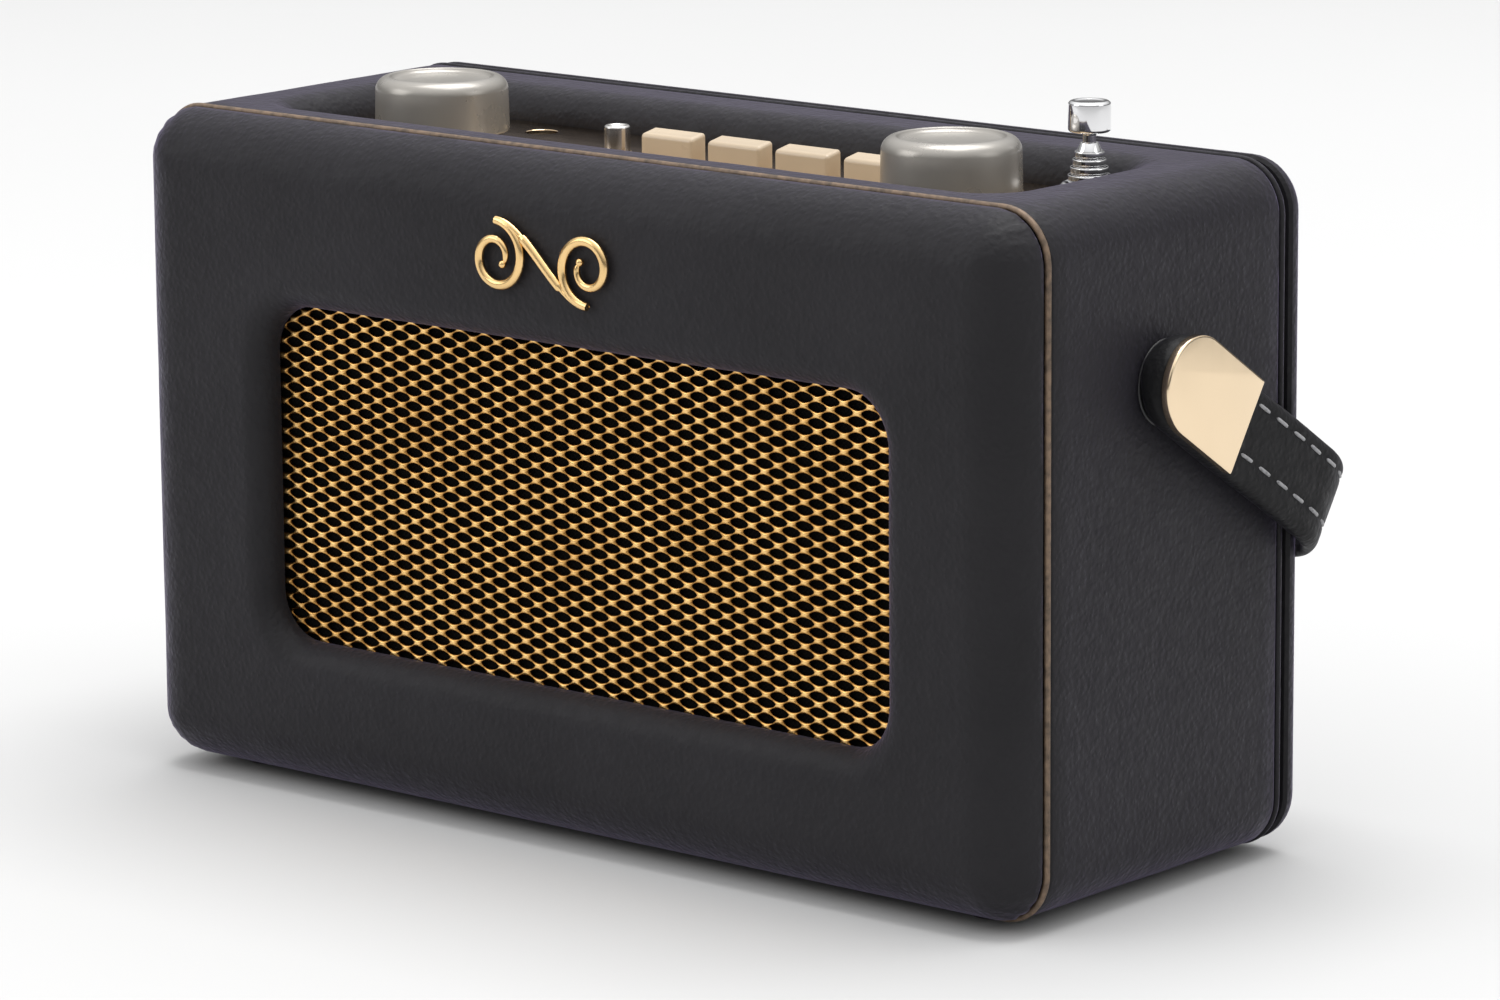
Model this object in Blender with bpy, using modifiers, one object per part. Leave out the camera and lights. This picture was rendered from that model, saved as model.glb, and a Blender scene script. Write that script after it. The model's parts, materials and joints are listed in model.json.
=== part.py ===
"""A portable radio in a leathercloth-covered wooden case, with its working parts.

Every named dimension and every shape below is in millimetres, and meshes are scaled to
metres as they are made. +Z is up, -Y is the front and +X is the right-hand side of someone
facing the front. The empty "case_centre" stands under the middle of the case, at the level
of the case's underside, and each piece is placed from it. The world origin is under the
middle of the whole radio, with the handle lying behind the case.
"""
import math

import bmesh
import bpy
from mathutils import Matrix, Vector

MM = 0.001
CORNER_SEGMENTS = 5
GAP = 0.3  # clearance between pieces that touch on the real radio
TAU = 2 * math.pi

# Case, over the leathercloth
WIDTH = 205.0
HEIGHT = 122.1
DEPTH = 82.8
CORNER = 9.4  # corner radius of the outline, seen from the front
FRONT_ROUND = 9.0  # roundover of the padded front's outer edge
BACK_ROUND = 3.8
SKIN = 0.9  # leathercloth
WALL = 8.0  # wooden case
FRONT_Y = -DEPTH / 2
BACK_Y = DEPTH / 2
PIPING_FRONT_Y = FRONT_Y + 10.0
PIPING_REAR_Y = BACK_Y - 7.1
PIPING_RADIUS = 0.6
SLEEVE_FRONT = PIPING_FRONT_Y + PIPING_RADIUS + 0.1
SLEEVE_BACK = PIPING_REAR_Y - PIPING_RADIUS - 0.1
BACK_PANEL_FRONT = BACK_Y - 4.6
UNDER_SKIN = SKIN + GAP
CAVITY_X = WIDTH / 2 - UNDER_SKIN - WALL
CAVITY_TOP = HEIGHT - UNDER_SKIN - WALL
CAVITY_BOTTOM = UNDER_SKIN + WALL
FOOT_HEIGHT = 1.6

# Window in the padded front, measured at the grille
WINDOW_X = 2.0
WINDOW_Z = 57.7
WINDOW_HALF = (71.9, 31.0)
WINDOW_CORNER = 9.0
WINDOW_ROLL = 5.0  # radius of the padded edge, and how far back the grille lies
GRILLE_Y = FRONT_Y + WINDOW_ROLL + 0.5

# Well in the top, measured at the control panel
WELL_HALF = (82.0, 20.0)
WELL_CORNER = 5.0
WELL_DEPTH = 6.1
WELL_ROLL = 6.0
PANEL_TOP = HEIGHT - WELL_DEPTH
PANEL_BOTTOM = PANEL_TOP - 2.8
TRAY_TOP = CAVITY_TOP - GAP
TRAY_BOTTOM = TRAY_TOP - 2.6
BOARD_TOP = 102.6  # control board

# Controls
KNOB_X = 59.45
KNOB_Y = -3.1
KNOB_RADIUS = 12.3
KNOB_BOTTOM = PANEL_TOP + 1.0
KNOB_TOP = 127.2
SHAFT_RADIUS = 3.0
ENCODER_TOP = 109.4
KEY_SIZE = (12.1, 4.2)
KEY_PITCH = 15.6
FIRST_KEY_X = -8.05
KEY_Y = 2.1
KEY_TOP = 120.4  # at the front edge, rising to the rear
KEY_RISE = 0.8
KEY_TRAVEL = 1.0
STANDBY_X = -21.4
STANDBY_RADIUS = 2.35
STANDBY_TOP = 120.9
JACK_X = -48.0
JACK_Y = 11.3
SWITCH_TOP = 104.7
STEM_BOTTOM = SWITCH_TOP + 0.15 + KEY_TRAVEL
NECK_RADIUS = 3.9  # threaded neck of an encoder
CHAMBER = (BOARD_TOP + 1.5, BOARD_TOP + 5.2)  # space the tuning plunger moves in
PUSH_TRAVEL = 0.7

# Telescopic aerial: outer radius and top of each tube, from the outermost in
AERIAL_X = 76.1
AERIAL_Y = 14.0
TUBE_RADII = (3.8, 3.4, 3.0, 2.6, 2.2)
TUBE_TOPS = (119.9, 121.25, 122.6, 123.95, 125.5)
TUBE_WALL = 0.25
TUBE_FOOT = 24.0
FOOT_STEP = 2.0
ROD_RADIUS = 1.2
CAP_RADIUS = 3.7
CAP_BOTTOM = 127.3
CAP_TOP = 132.7
AERIAL_NECK = 5.0

# Carrying handle
PIVOT_Z = 88.8
HANDLE_ANGLE = math.radians(33.2)  # below the horizontal, leaning on the back
STRAP_HALF_WIDTH = 8.5
ARM_THICKNESS = 4.9  # padded beside the case
GRIP_THICKNESS = 2.4
STRAP_EDGE = 1.0  # rounding of its edges
STRAP_FLAT = STRAP_HALF_WIDTH - STRAP_EDGE
STRAP_REACH = 58.4  # from the pivot to the outside of the grip
STRAP_X = 108.4  # outer face of the strap under the end plate
STRAP_FLARE = 0.9
BEND_RADIUS = 15.0
PLATE_LENGTH = 16.8
PLATE_RADIUS = 8.8
PLATE_X = (108.6, 110.2)
STUD_RADIUS = 2.5
BUSH_RADIUS = 4.0

# Behind the front and in the back
SPEAKER_X = 0.0
SPEAKER_Z = 60.0
SPEAKER_RADIUS = 33.0
BAFFLE_Y = (-31.0, -26.6)
BAFFLE_Y_THROUGH = (BAFFLE_Y[0] - 2, BAFFLE_Y[1] + 2)
SCREWS = [(x, z) for x in (-92, 92) for z in (14, 108)]
SCREW_HOLE = 1.9
SOCKET_RADIUS = 4.6
DOOR_X = -22.0
DOOR_HALF = 33.0
DOOR_Z = (10.5, 43.0)
CELL_RADIUS = 7.2
CELL_LENGTH = 50.0
SOCKET_X = -78.0
DC_Z = 78.0
AUX_Z = 92.0

BADGE_Z = 104.0
BADGE_HALF = 20.0
BADGE_VOLUTE = 6.8
BADGE_THICK = 1.5
FRONT_MOST = FRONT_Y - GAP - BADGE_THICK
REAR_MOST = STRAP_REACH * math.cos(HANDLE_ANGLE) + STRAP_FLAT * math.sin(HANDLE_ANGLE)


# ---------------------------------------------------------------- scene and materials

for old in list(bpy.data.objects):
    bpy.data.objects.remove(old, do_unlink=True)

radio = bpy.data.collections.new("leather_portable_radio")
helpers = bpy.data.collections.new("cutters")
for group in (radio, helpers):
    bpy.context.scene.collection.children.link(group)

case_centre = bpy.data.objects.new("case_centre", None)
case_centre.location = (0, -(FRONT_MOST + REAR_MOST) / 2 * MM, FOOT_HEIGHT * MM)
radio.objects.link(case_centre)


def material(name, colour, roughness, metallic=0.0):
    made = bpy.data.materials.new(name)
    made.use_nodes = True
    shader = made.node_tree.nodes["Principled BSDF"]
    shader.inputs["Base Color"].default_value = (*colour, 1)
    shader.inputs["Roughness"].default_value = roughness
    shader.inputs["Metallic"].default_value = metallic
    made.diffuse_color = (*colour, 1)
    return made


LEATHER = material("leathercloth", (0.035, 0.034, 0.037), 0.55)
STRAP_LEATHER = material("strap_leather", (0.03, 0.03, 0.031), 0.5)
WOOD = material("wood", (0.03, 0.026, 0.022), 0.7)
GOLD = material("gold_metal", (0.83, 0.6, 0.3), 0.28, 1.0)
PIPING = material("gold_piping", (0.45, 0.32, 0.2), 0.5)
PALE_GOLD = material("pale_gold", (0.95, 0.8, 0.6), 0.15, 1.0)
PANEL_BRASS = material("panel_brass", (0.7, 0.55, 0.34), 0.3, 1.0)
IVORY = material("ivory_plastic", (0.85, 0.78, 0.64), 0.35)
KNOB_PLASTIC = material("knob_plastic", (0.6, 0.57, 0.53), 0.35)
CHROME = material("chrome", (0.8, 0.8, 0.8), 0.08, 1.0)
BLACK_PLASTIC = material("black_plastic", (0.02, 0.02, 0.02), 0.5)
BLACK_CLOTH = material("acoustic_cloth", (0.01, 0.01, 0.01), 0.95)
PAPER = material("cone_paper", (0.05, 0.05, 0.05), 0.9)
STEEL = material("steel", (0.5, 0.5, 0.5), 0.4, 1.0)
BOARD_GREEN = material("circuit_board", (0.02, 0.2, 0.08), 0.4)
CELL_FINISH = material("cell_jacket", (0.3, 0.32, 0.36), 0.35)
RUBBER = material("rubber", (0.02, 0.02, 0.02), 0.8)


# ---------------------------------------------------------------- modelling helpers


def shade(mesh):
    mesh.shade_smooth()
    mesh.set_sharp_from_angle(angle=math.radians(32))


def add(name, mesh, finish, at=(0, 0, 0), parent=case_centre):
    """Links a piece to the radio, at a point measured from its parent."""
    piece = bpy.data.objects.new(name, mesh)
    piece.data.materials.append(finish)
    piece.parent = parent
    piece.location = Vector(at) * MM
    radio.objects.link(piece)
    return piece


def cutter(mesh, at=(0, 0, 0), parent=case_centre):
    tool = bpy.data.objects.new("cutter", mesh)
    tool.parent = parent
    tool.location = Vector(at) * MM
    tool.hide_render = True
    tool.display_type = "WIRE"
    helpers.objects.link(tool)
    return tool


def combine(piece, tool, operation="DIFFERENCE"):
    boolean = piece.modifiers.new(operation.lower(), "BOOLEAN")
    boolean.object = tool
    boolean.operation = operation
    return piece


def finished(bm, smooth=True):
    """Turns a shape in millimetres into a mesh in metres."""
    bmesh.ops.recalc_face_normals(bm, faces=bm.faces)
    mesh = bpy.data.meshes.new("shape")
    bm.to_mesh(mesh)
    bm.free()
    mesh.transform(Matrix.Scale(MM, 4))
    if smooth:
        shade(mesh)
    return mesh


def edges_along(bm, axis):
    return [e for e in bm.edges if abs((e.verts[0].co - e.verts[1].co).normalized()[axis]) > 0.99]


def edges_at(bm, axis, value):
    return [e for e in bm.edges if all(abs(v.co[axis] - value) < 0.001 for v in e.verts)]


def bevel(bm, edges, radius, segments):
    bmesh.ops.bevel(
        bm, geom=edges, offset=radius, segments=segments, profile=0.5, affect="EDGES"
    )


def span_block(low, high):
    """A block between two opposite corners."""
    bm = bmesh.new()
    low, high = Vector(low), Vector(high)
    bmesh.ops.create_cube(bm, size=1)
    bmesh.ops.scale(bm, verts=bm.verts, vec=high - low)
    bmesh.ops.translate(bm, verts=bm.verts, vec=(low + high) / 2)
    return bm


def rounded_block(low, high, axis, radius, segments=4):
    """A block whose four edges along one axis are rounded."""
    bm = span_block(low, high)
    bevel(bm, edges_along(bm, axis), radius, segments)
    return bm


def case_prism(inset, front, back):
    """The case's outline, drawn in by an inset and run from front to back."""
    return rounded_block(
        (-WIDTH / 2 + inset, front, inset),
        (WIDTH / 2 - inset, back, HEIGHT - inset),
        axis=1,
        radius=CORNER - inset,
        segments=CORNER_SEGMENTS,
    )


TURN_TO = {
    "X": Matrix.Rotation(math.radians(90), 4, "Y"),
    "Y": Matrix.Rotation(math.radians(-90), 4, "X"),
    "Z": Matrix.Identity(4),
}


def rod(radius, low, high, axis="Z", sides=24, centre=(0, 0, 0)):
    """A round bar that runs from low to high along an axis through a centre."""
    bm = bmesh.new()
    along = Matrix.Translation((0, 0, (low + high) / 2))
    bmesh.ops.create_cone(
        bm,
        cap_ends=True,
        segments=sides,
        radius1=radius,
        radius2=radius,
        depth=high - low,
        matrix=Matrix.Translation(centre) @ TURN_TO[axis] @ along,
    )
    return bm


def turned(name, profile, finish, at, sides=24, closed=False, parent=case_centre, axis="Z"):
    """A turned piece. The profile holds (radius, height) and runs down its outer side."""
    mesh = bpy.data.meshes.new(name)
    points = [(radius * MM, 0, height * MM) for radius, height in profile]
    links = [(i, i + 1) for i in range(len(points) - 1)]
    if closed:
        links.append((len(points) - 1, 0))
    mesh.from_pydata(points, links, [])
    piece = add(name, mesh, finish, at, parent)
    screw = piece.modifiers.new("turn", "SCREW")
    screw.steps = sides
    screw.render_steps = sides
    screw.use_merge_vertices = True
    screw.merge_threshold = 0.00001
    screw.use_smooth_shade = False
    if axis == "X":
        piece.rotation_euler = (0, math.radians(90), 0)
    if axis == "Y":
        piece.rotation_euler = (math.radians(-90), 0, 0)
    return piece


def arc(centre, radius, start, end, steps):
    """Points on an arc, in degrees, the two ends included."""
    angles = [math.radians(start + (end - start) * i / steps) for i in range(steps + 1)]
    return [(centre[0] + radius * math.cos(a), centre[1] + radius * math.sin(a)) for a in angles]


def rounded_outline(half, radius, segments=CORNER_SEGMENTS):
    """A rounded rectangle about the origin, as points in order."""
    points = []
    for turn, (sx, sy) in enumerate(((1, 1), (-1, 1), (-1, -1), (1, -1))):
        centre = (sx * (half[0] - radius), sy * (half[1] - radius))
        points += arc(centre, radius, 90 * turn, 90 * turn + 90, segments)
    return points


def loft(rings, closed):
    """Skins rings of equal length, joined end to end or capped."""
    bm = bmesh.new()
    made = [[bm.verts.new(point) for point in ring] for ring in rings]
    pairs = list(zip(made, made[1:]))
    if closed:
        pairs.append((made[-1], made[0]))
    for here, there in pairs:
        for i in range(len(here)):
            j = (i + 1) % len(here)
            bm.faces.new((here[i], here[j], there[j], there[i]))
    if not closed:
        bm.faces.new(made[0])
        bm.faces.new(made[-1])
    return bm


# ---------------------------------------------------------------- padded front


def case_ring(inset, y):
    half = (WIDTH / 2 - inset, HEIGHT / 2 - inset)
    outline = rounded_outline(half, max(CORNER - inset, 1.5))
    return [(x, y, HEIGHT / 2 + z) for x, z in outline]


def window_ring(outset, y):
    half = (WINDOW_HALF[0] + outset, WINDOW_HALF[1] + outset)
    outline = rounded_outline(half, WINDOW_CORNER + outset)
    return [(WINDOW_X + x, y, WINDOW_Z + z) for x, z in outline]


def padded_surface(depth, back, foot):
    """Rings over the padded front, a given depth under its surface, from the case's edge
    at y = back, over the front and into the window as far as y = foot."""
    rings = [case_ring(depth, back)]
    edge = FRONT_ROUND - depth
    for x, y in arc((FRONT_ROUND, FRONT_Y + FRONT_ROUND), edge, 180, 270, 4):
        rings.append(case_ring(x, y))
    roll = WINDOW_ROLL - depth
    for x, y in arc((WINDOW_ROLL, FRONT_Y + WINDOW_ROLL), roll, 270, 180, 4):
        rings.append(window_ring(x, y))
    rings.append(window_ring(depth, foot))
    return rings


def padded_front():
    back = PIPING_FRONT_Y - PIPING_RADIUS - 0.1
    foot = GRILLE_Y - GAP
    outside = padded_surface(0, back, foot)
    inside = padded_surface(SKIN, back, foot)
    add("front_cover", finished(loft(outside + inside[::-1], True)), LEATHER)

    rebate = 6.0
    rings = padded_surface(UNDER_SKIN, back, foot)
    rings.append(window_ring(rebate, foot))
    rings.append(window_ring(rebate, back))
    add("front_frame", finished(loft(rings, True)), WOOD)

    def plate(name, thickness, y, finish):
        outline = [window_ring(rebate - GAP - 0.2, y), window_ring(rebate - GAP - 0.2, y + thickness)]
        add(name, finished(loft(outline, False), smooth=False), finish)

    plate("grille", 1.0, GRILLE_Y, GOLD)
    plate("grille_cloth", 0.6, GRILLE_Y + 1.0 + GAP, BLACK_CLOTH)

    baffle = rounded_block(
        (-CAVITY_X + 0.4, BAFFLE_Y[0], CAVITY_BOTTOM + 0.4),
        (CAVITY_X - 0.4, BAFFLE_Y[1], TRAY_BOTTOM - 0.8),
        axis=1,
        radius=2.0,
        segments=2,
    )
    baffle = add("baffle_board", finished(baffle), WOOD)
    hole = rod(SPEAKER_RADIUS - 5, *BAFFLE_Y_THROUGH, axis="Y", sides=32)
    combine(baffle, cutter(finished(hole), (SPEAKER_X, 0, SPEAKER_Z)))


def badge():
    """A scroll of one brass wire on the front: a wave between two volutes."""
    scroll = []
    turns = 1.35
    eye = 1.9
    reach = BADGE_HALF - BADGE_VOLUTE
    for i in range(17):
        t = i / 16
        angle = math.pi / 2 - (1 - t) * turns * TAU
        radius = eye + (BADGE_VOLUTE - eye) * t
        scroll.append((-reach + radius * math.cos(angle), radius * math.sin(angle)))
    for i in range(1, 9):
        t = i / 8
        x = -reach * (1 - t)
        scroll.append((x, BADGE_VOLUTE * math.cos(math.pi * t / 2)))
    scroll += [(-x, -z) for x, z in reversed(scroll[:-1])]
    curve = bpy.data.curves.new("badge", "CURVE")
    curve.dimensions = "3D"
    curve.bevel_depth = BADGE_THICK / 2 * MM
    curve.bevel_resolution = 1
    curve.use_fill_caps = True
    line = curve.splines.new("POLY")
    line.points.add(len(scroll) - 1)
    for point, (x, z) in zip(line.points, scroll):
        point.co = (x * MM, 0, z * MM, 1)
    wire = bpy.data.objects.new("badge", curve)
    wire.data.materials.append(GOLD)
    wire.parent = case_centre
    wire.location = Vector((0, FRONT_Y - GAP - BADGE_THICK / 2, BADGE_Z)) * MM
    radio.objects.link(wire)


def piping(name, y, finish):
    """A beaded welt round the case, half sunk in the joint that it covers."""
    sunk = 0.25
    curve = bpy.data.curves.new(name, "CURVE")
    curve.dimensions = "3D"
    curve.bevel_depth = PIPING_RADIUS * MM
    curve.bevel_resolution = 1
    line = curve.splines.new("POLY")
    outline = rounded_outline((WIDTH / 2 - sunk, HEIGHT / 2 - sunk), CORNER - sunk)
    line.points.add(len(outline) - 1)
    line.use_cyclic_u = True
    for point, (x, z) in zip(line.points, outline):
        point.co = (x * MM, 0, z * MM, 1)
    bead = bpy.data.objects.new(name, curve)
    bead.data.materials.append(finish)
    bead.parent = case_centre
    bead.location = Vector((0, y, HEIGHT / 2)) * MM
    radio.objects.link(bead)


# ---------------------------------------------------------------- case


def well_tool(outset, floor):
    """Cuts the top opening: straight at the panel, and rolled outwards up to the top."""
    roll = WELL_ROLL - outset
    last = 78  # the roll stops short of level, so that it crosses the top cleanly
    rings = [(0.0, floor)]
    for step in range(5):
        angle = math.radians(last * step / 4)
        rings.append((roll * (1 - math.cos(angle)), HEIGHT - outset - roll * (1 - math.sin(angle))))
    past, rise = rings[-1][0], rings[-1][1]
    slope = math.tan(math.radians(last))
    lift = HEIGHT - outset + 1.5 - rise
    rings.append((past + lift * slope, rise + lift))
    skins = []
    for grow, z in rings:
        half = (WELL_HALF[0] + outset + grow, WELL_HALF[1] + outset + grow)
        outline = rounded_outline(half, WELL_CORNER + outset + grow, 4)
        skins.append([(x, y, z) for x, y in outline])
    return cutter(finished(loft(skins, False)))


def case():
    beyond = 3.0
    inner = cutter(finished(case_prism(SKIN, SLEEVE_FRONT - beyond, SLEEVE_BACK + beyond)))
    combine(inner, well_tool(SKIN, TRAY_TOP + 0.4))
    cover = add("cabinet_cover", finished(case_prism(0, SLEEVE_FRONT, SLEEVE_BACK)), LEATHER)
    combine(cover, inner)
    combine(cover, well_tool(0, TRAY_TOP - 0.6))

    body = case_prism(UNDER_SKIN, SLEEVE_FRONT + 0.2, BACK_PANEL_FRONT - 0.2)
    carcass = add("cabinet_carcass", finished(body), WOOD)
    hollow = rounded_block(
        (-CAVITY_X, SLEEVE_FRONT - beyond, CAVITY_BOTTOM),
        (CAVITY_X, BACK_PANEL_FRONT + beyond, CAVITY_TOP),
        axis=1,
        radius=2.5,
        segments=2,
    )
    combine(carcass, cutter(finished(hollow)))
    combine(carcass, well_tool(UNDER_SKIN, CAVITY_TOP - beyond))
    bore = cutter(
        finished(rod(BUSH_RADIUS + GAP, -WIDTH, WIDTH, axis="X")), (0, 0, PIVOT_Z)
    )
    combine(carcass, bore)
    combine(cover, bore)
    for x, z in SCREWS:
        screw_hole = rod(SCREW_HOLE, BACK_Y - 10, BACK_Y, axis="Y", sides=12)
        combine(carcass, cutter(finished(screw_hole), (x, 0, z)))


def feet():
    profile = [(0, 0), (4.5, 0), (5.0, -0.4), (5.0, -FOOT_HEIGHT + 0.4)]
    profile += [(4.6, -FOOT_HEIGHT), (0, -FOOT_HEIGHT)]
    lowered = [(r, z - (GAP if z == 0 else 0)) for r, z in profile]
    number = 0
    for x in (-86, 86):
        for y in (-24, 26):
            number += 1
            turned(f"foot_{number}", lowered, RUBBER, (x, y, 0), sides=16)


# ---------------------------------------------------------------- back


def back_block(inset, front, back):
    bm = case_prism(inset, front, back)
    bevel(bm, edges_at(bm, 1, back), BACK_ROUND - inset, 3)
    return bm


def back():
    door_hole = rounded_block(
        (DOOR_X - DOOR_HALF, BACK_PANEL_FRONT - 3, DOOR_Z[0]),
        (DOOR_X + DOOR_HALF, BACK_Y + 3, DOOR_Z[1]),
        axis=1,
        radius=1.5,
        segments=2,
    )
    door_hole = cutter(finished(door_hole))
    cover = add("back_cover", finished(back_block(0, BACK_PANEL_FRONT, BACK_Y)), LEATHER)
    under = cutter(finished(back_block(SKIN, BACK_PANEL_FRONT - 3, BACK_Y - SKIN)))
    combine(cover, under)
    board = back_block(UNDER_SKIN, BACK_PANEL_FRONT + 0.2, BACK_Y - UNDER_SKIN)
    board = add("back_board", finished(board), WOOD)
    holes = [(SOCKET_X, DC_Z, SOCKET_RADIUS + GAP), (SOCKET_X, AUX_Z, SOCKET_RADIUS + GAP)]
    holes += [(x, z, SCREW_HOLE) for x, z in SCREWS]
    for piece in (cover, board):
        combine(piece, door_hole)
    for x, z, radius in holes:
        bore = rod(radius, BACK_PANEL_FRONT - 3, BACK_Y + 3, axis="Y", sides=16)
        bore = cutter(finished(bore), (x, 0, z))
        combine(cover, bore)
        combine(board, bore)
    for number, (x, z) in enumerate(SCREWS, 1):
        head = [(0, 1.1), (1.6, 1.0), (2.6, 0.5), (3.0, GAP), (1.6, GAP), (1.6, -7.0), (0, -8.6)]
        turned(f"back_screw_{number}", head, STEEL, (x, BACK_Y, z), sides=12, axis="Y")


def sockets():
    """A barrel socket for the mains adaptor and a smaller one for line input."""
    for name, z, bore in (("dc_socket", DC_Z, 2.9), ("aux_socket", AUX_Z, 1.8)):
        rim = SOCKET_RADIUS + 1.2
        profile = [(bore, 1.2), (rim, 1.2), (rim, GAP), (SOCKET_RADIUS, GAP)]
        profile += [(SOCKET_RADIUS, -11.0), (bore + 0.8, -11.0), (bore + 0.8, -9.0), (bore, -9.0)]
        turned(name, profile, BLACK_PLASTIC, (SOCKET_X, BACK_Y, z), 16, closed=True, axis="Y")


def batteries():
    """A door hinged on its lower edge, and a tray of four cells behind it."""
    hinge = bpy.data.objects.new("door_hinge", None)
    hinge.parent = case_centre
    hinge.location = Vector((DOOR_X, BACK_Y - 1.6, DOOR_Z[0] + 2.0)) * MM
    radio.objects.link(hinge)
    half = DOOR_HALF - 0.4
    top = DOOR_Z[1] - DOOR_Z[0] - 2.4
    door = rounded_block((-half, -1.0, -0.9), (half, 1.4, top), axis=1, radius=1.2, segments=2)
    door = add("battery_door", finished(door), BLACK_PLASTIC, parent=hinge)
    barrel = cutter(finished(rod(1.3, -half, half, axis="X", sides=16)), parent=hinge)
    combine(door, barrel, "UNION")
    pull = rounded_block((-8, 0.6, top - 6), (8, 2.6, top - 2), axis=1, radius=0.8, segments=2)
    combine(door, cutter(finished(pull), parent=hinge), "DIFFERENCE")

    front, rear = 4.2, BACK_PANEL_FRONT - 0.6
    low, high = DOOR_Z[0] + 0.6, DOOR_Z[1] - 0.6
    reach = DOOR_HALF - 1.0
    tray = rounded_block(
        (DOOR_X - reach, front, low), (DOOR_X + reach, rear, high), axis=1, radius=1.0, segments=1
    )
    tray = add("battery_holder", finished(tray), BLACK_PLASTIC)
    hollow = span_block(
        (DOOR_X - reach + 1.2, front + 1.2, low + 0.9),
        (DOOR_X + reach - 1.2, rear + 3, high - 0.9),
    )
    combine(tray, cutter(finished(hollow)))
    middle = (low + high) / 2
    spread = CELL_RADIUS + 0.15
    number = 0
    for y in (front + 1.5 + CELL_RADIUS, front + 1.9 + 3 * CELL_RADIUS):
        for z in (middle - spread, middle + spread):
            number += 1
            radius, end = CELL_RADIUS, CELL_LENGTH / 2
            profile = [(0, end), (2.7, end), (2.7, end - 1.2), (radius, end - 1.2)]
            profile += [(radius, -end + 0.5), (radius - 0.5, -end), (0, -end)]
            turned(f"cell_{number}", profile, CELL_FINISH, (DOOR_X, y, z), 16, axis="X")


# ---------------------------------------------------------------- controls


def key_x(number):
    return FIRST_KEY_X + KEY_PITCH * number


def controls():
    half = (WELL_HALF[0] - GAP, WELL_HALF[1] - GAP)
    outline = rounded_outline(half, WELL_CORNER - GAP, 4)
    rings = [[(x, y, z) for x, y in outline] for z in (PANEL_BOTTOM, PANEL_TOP)]
    panel = add("control_panel", finished(loft(rings, False), smooth=False), PANEL_BRASS)
    tray = rounded_block((-90, -25.8, TRAY_BOTTOM), (90, 27, TRAY_TOP), axis=2, radius=3)
    tray = add("control_tray", finished(tray), BLACK_PLASTIC)
    for x in (-72, 66):
        for y in (-13, 13):
            post = rod(2.2, BOARD_TOP + GAP, TRAY_BOTTOM + 1, sides=12)
            combine(tray, cutter(finished(post), (x, y, 0)), "UNION")

    through = (TRAY_BOTTOM - 2, PANEL_TOP + 2)
    round_holes = [(-KNOB_X, KNOB_Y, NECK_RADIUS + GAP), (KNOB_X, KNOB_Y, NECK_RADIUS + GAP)]
    round_holes += [(STANDBY_X, KEY_Y, STANDBY_RADIUS + 0.2)]
    round_holes += [(AERIAL_X, AERIAL_Y, AERIAL_NECK + GAP), (JACK_X, JACK_Y, 3.0)]
    for x, y, radius in round_holes:
        bore = cutter(finished(rod(radius, *through, sides=24)), (x, y, 0))
        combine(panel, bore)
        combine(tray, bore)
    for number in range(4):
        slot = rounded_block(
            (-KEY_SIZE[0] / 2 - 0.25, -KEY_SIZE[1] / 2 - 0.25, through[0]),
            (KEY_SIZE[0] / 2 + 0.25, KEY_SIZE[1] / 2 + 0.25, through[1]),
            axis=2,
            radius=0.8,
            segments=1,
        )
        slot = cutter(finished(slot), (key_x(number), KEY_Y, 0))
        combine(panel, slot)
        combine(tray, slot)

    board = span_block((-78, -18, BOARD_TOP - 1.6), (69, 17, BOARD_TOP))
    board = add("control_board", finished(board), BOARD_GREEN)
    for x in [STANDBY_X] + [key_x(number) for number in range(4)]:
        switch = span_block((-3, -3, BOARD_TOP - 0.5), (3, 3, SWITCH_TOP))
        combine(board, cutter(finished(switch), (x, KEY_Y, 0)), "UNION")


def keys():
    half_x, half_y = KEY_SIZE[0] / 2, KEY_SIZE[1] / 2
    shank = TRAY_BOTTOM + 0.5
    for number in range(4):
        cap = span_block((-half_x, -half_y, shank), (half_x, half_y, KEY_TOP))
        for corner in cap.verts:
            if corner.co.z > shank and corner.co.y > 0:
                corner.co.z += KEY_RISE
        bevel(cap, [e for e in cap.edges if max(v.co.z for v in e.verts) > shank + 1], 0.7, 2)
        bmesh.ops.translate(cap, verts=cap.verts, vec=(0, 0, -PANEL_TOP))
        place = (key_x(number), KEY_Y, PANEL_TOP)
        key = add(f"preset_button_{number + 1}", finished(cap), IVORY, place)
        stem = rod(1.5, STEM_BOTTOM - PANEL_TOP, shank - PANEL_TOP + 1, sides=12)
        combine(key, cutter(finished(stem), place), "UNION")
    top, foot, radius = STANDBY_TOP - PANEL_TOP, shank - PANEL_TOP, STANDBY_RADIUS
    profile = [(0, top), (radius - 0.4, top), (radius, top - 0.4), (radius, foot)]
    profile += [(1.2, foot), (1.2, STEM_BOTTOM - PANEL_TOP), (0, STEM_BOTTOM - PANEL_TOP)]
    turned("standby_button", profile, CHROME, (STANDBY_X, KEY_Y, PANEL_TOP), 20)


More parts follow.
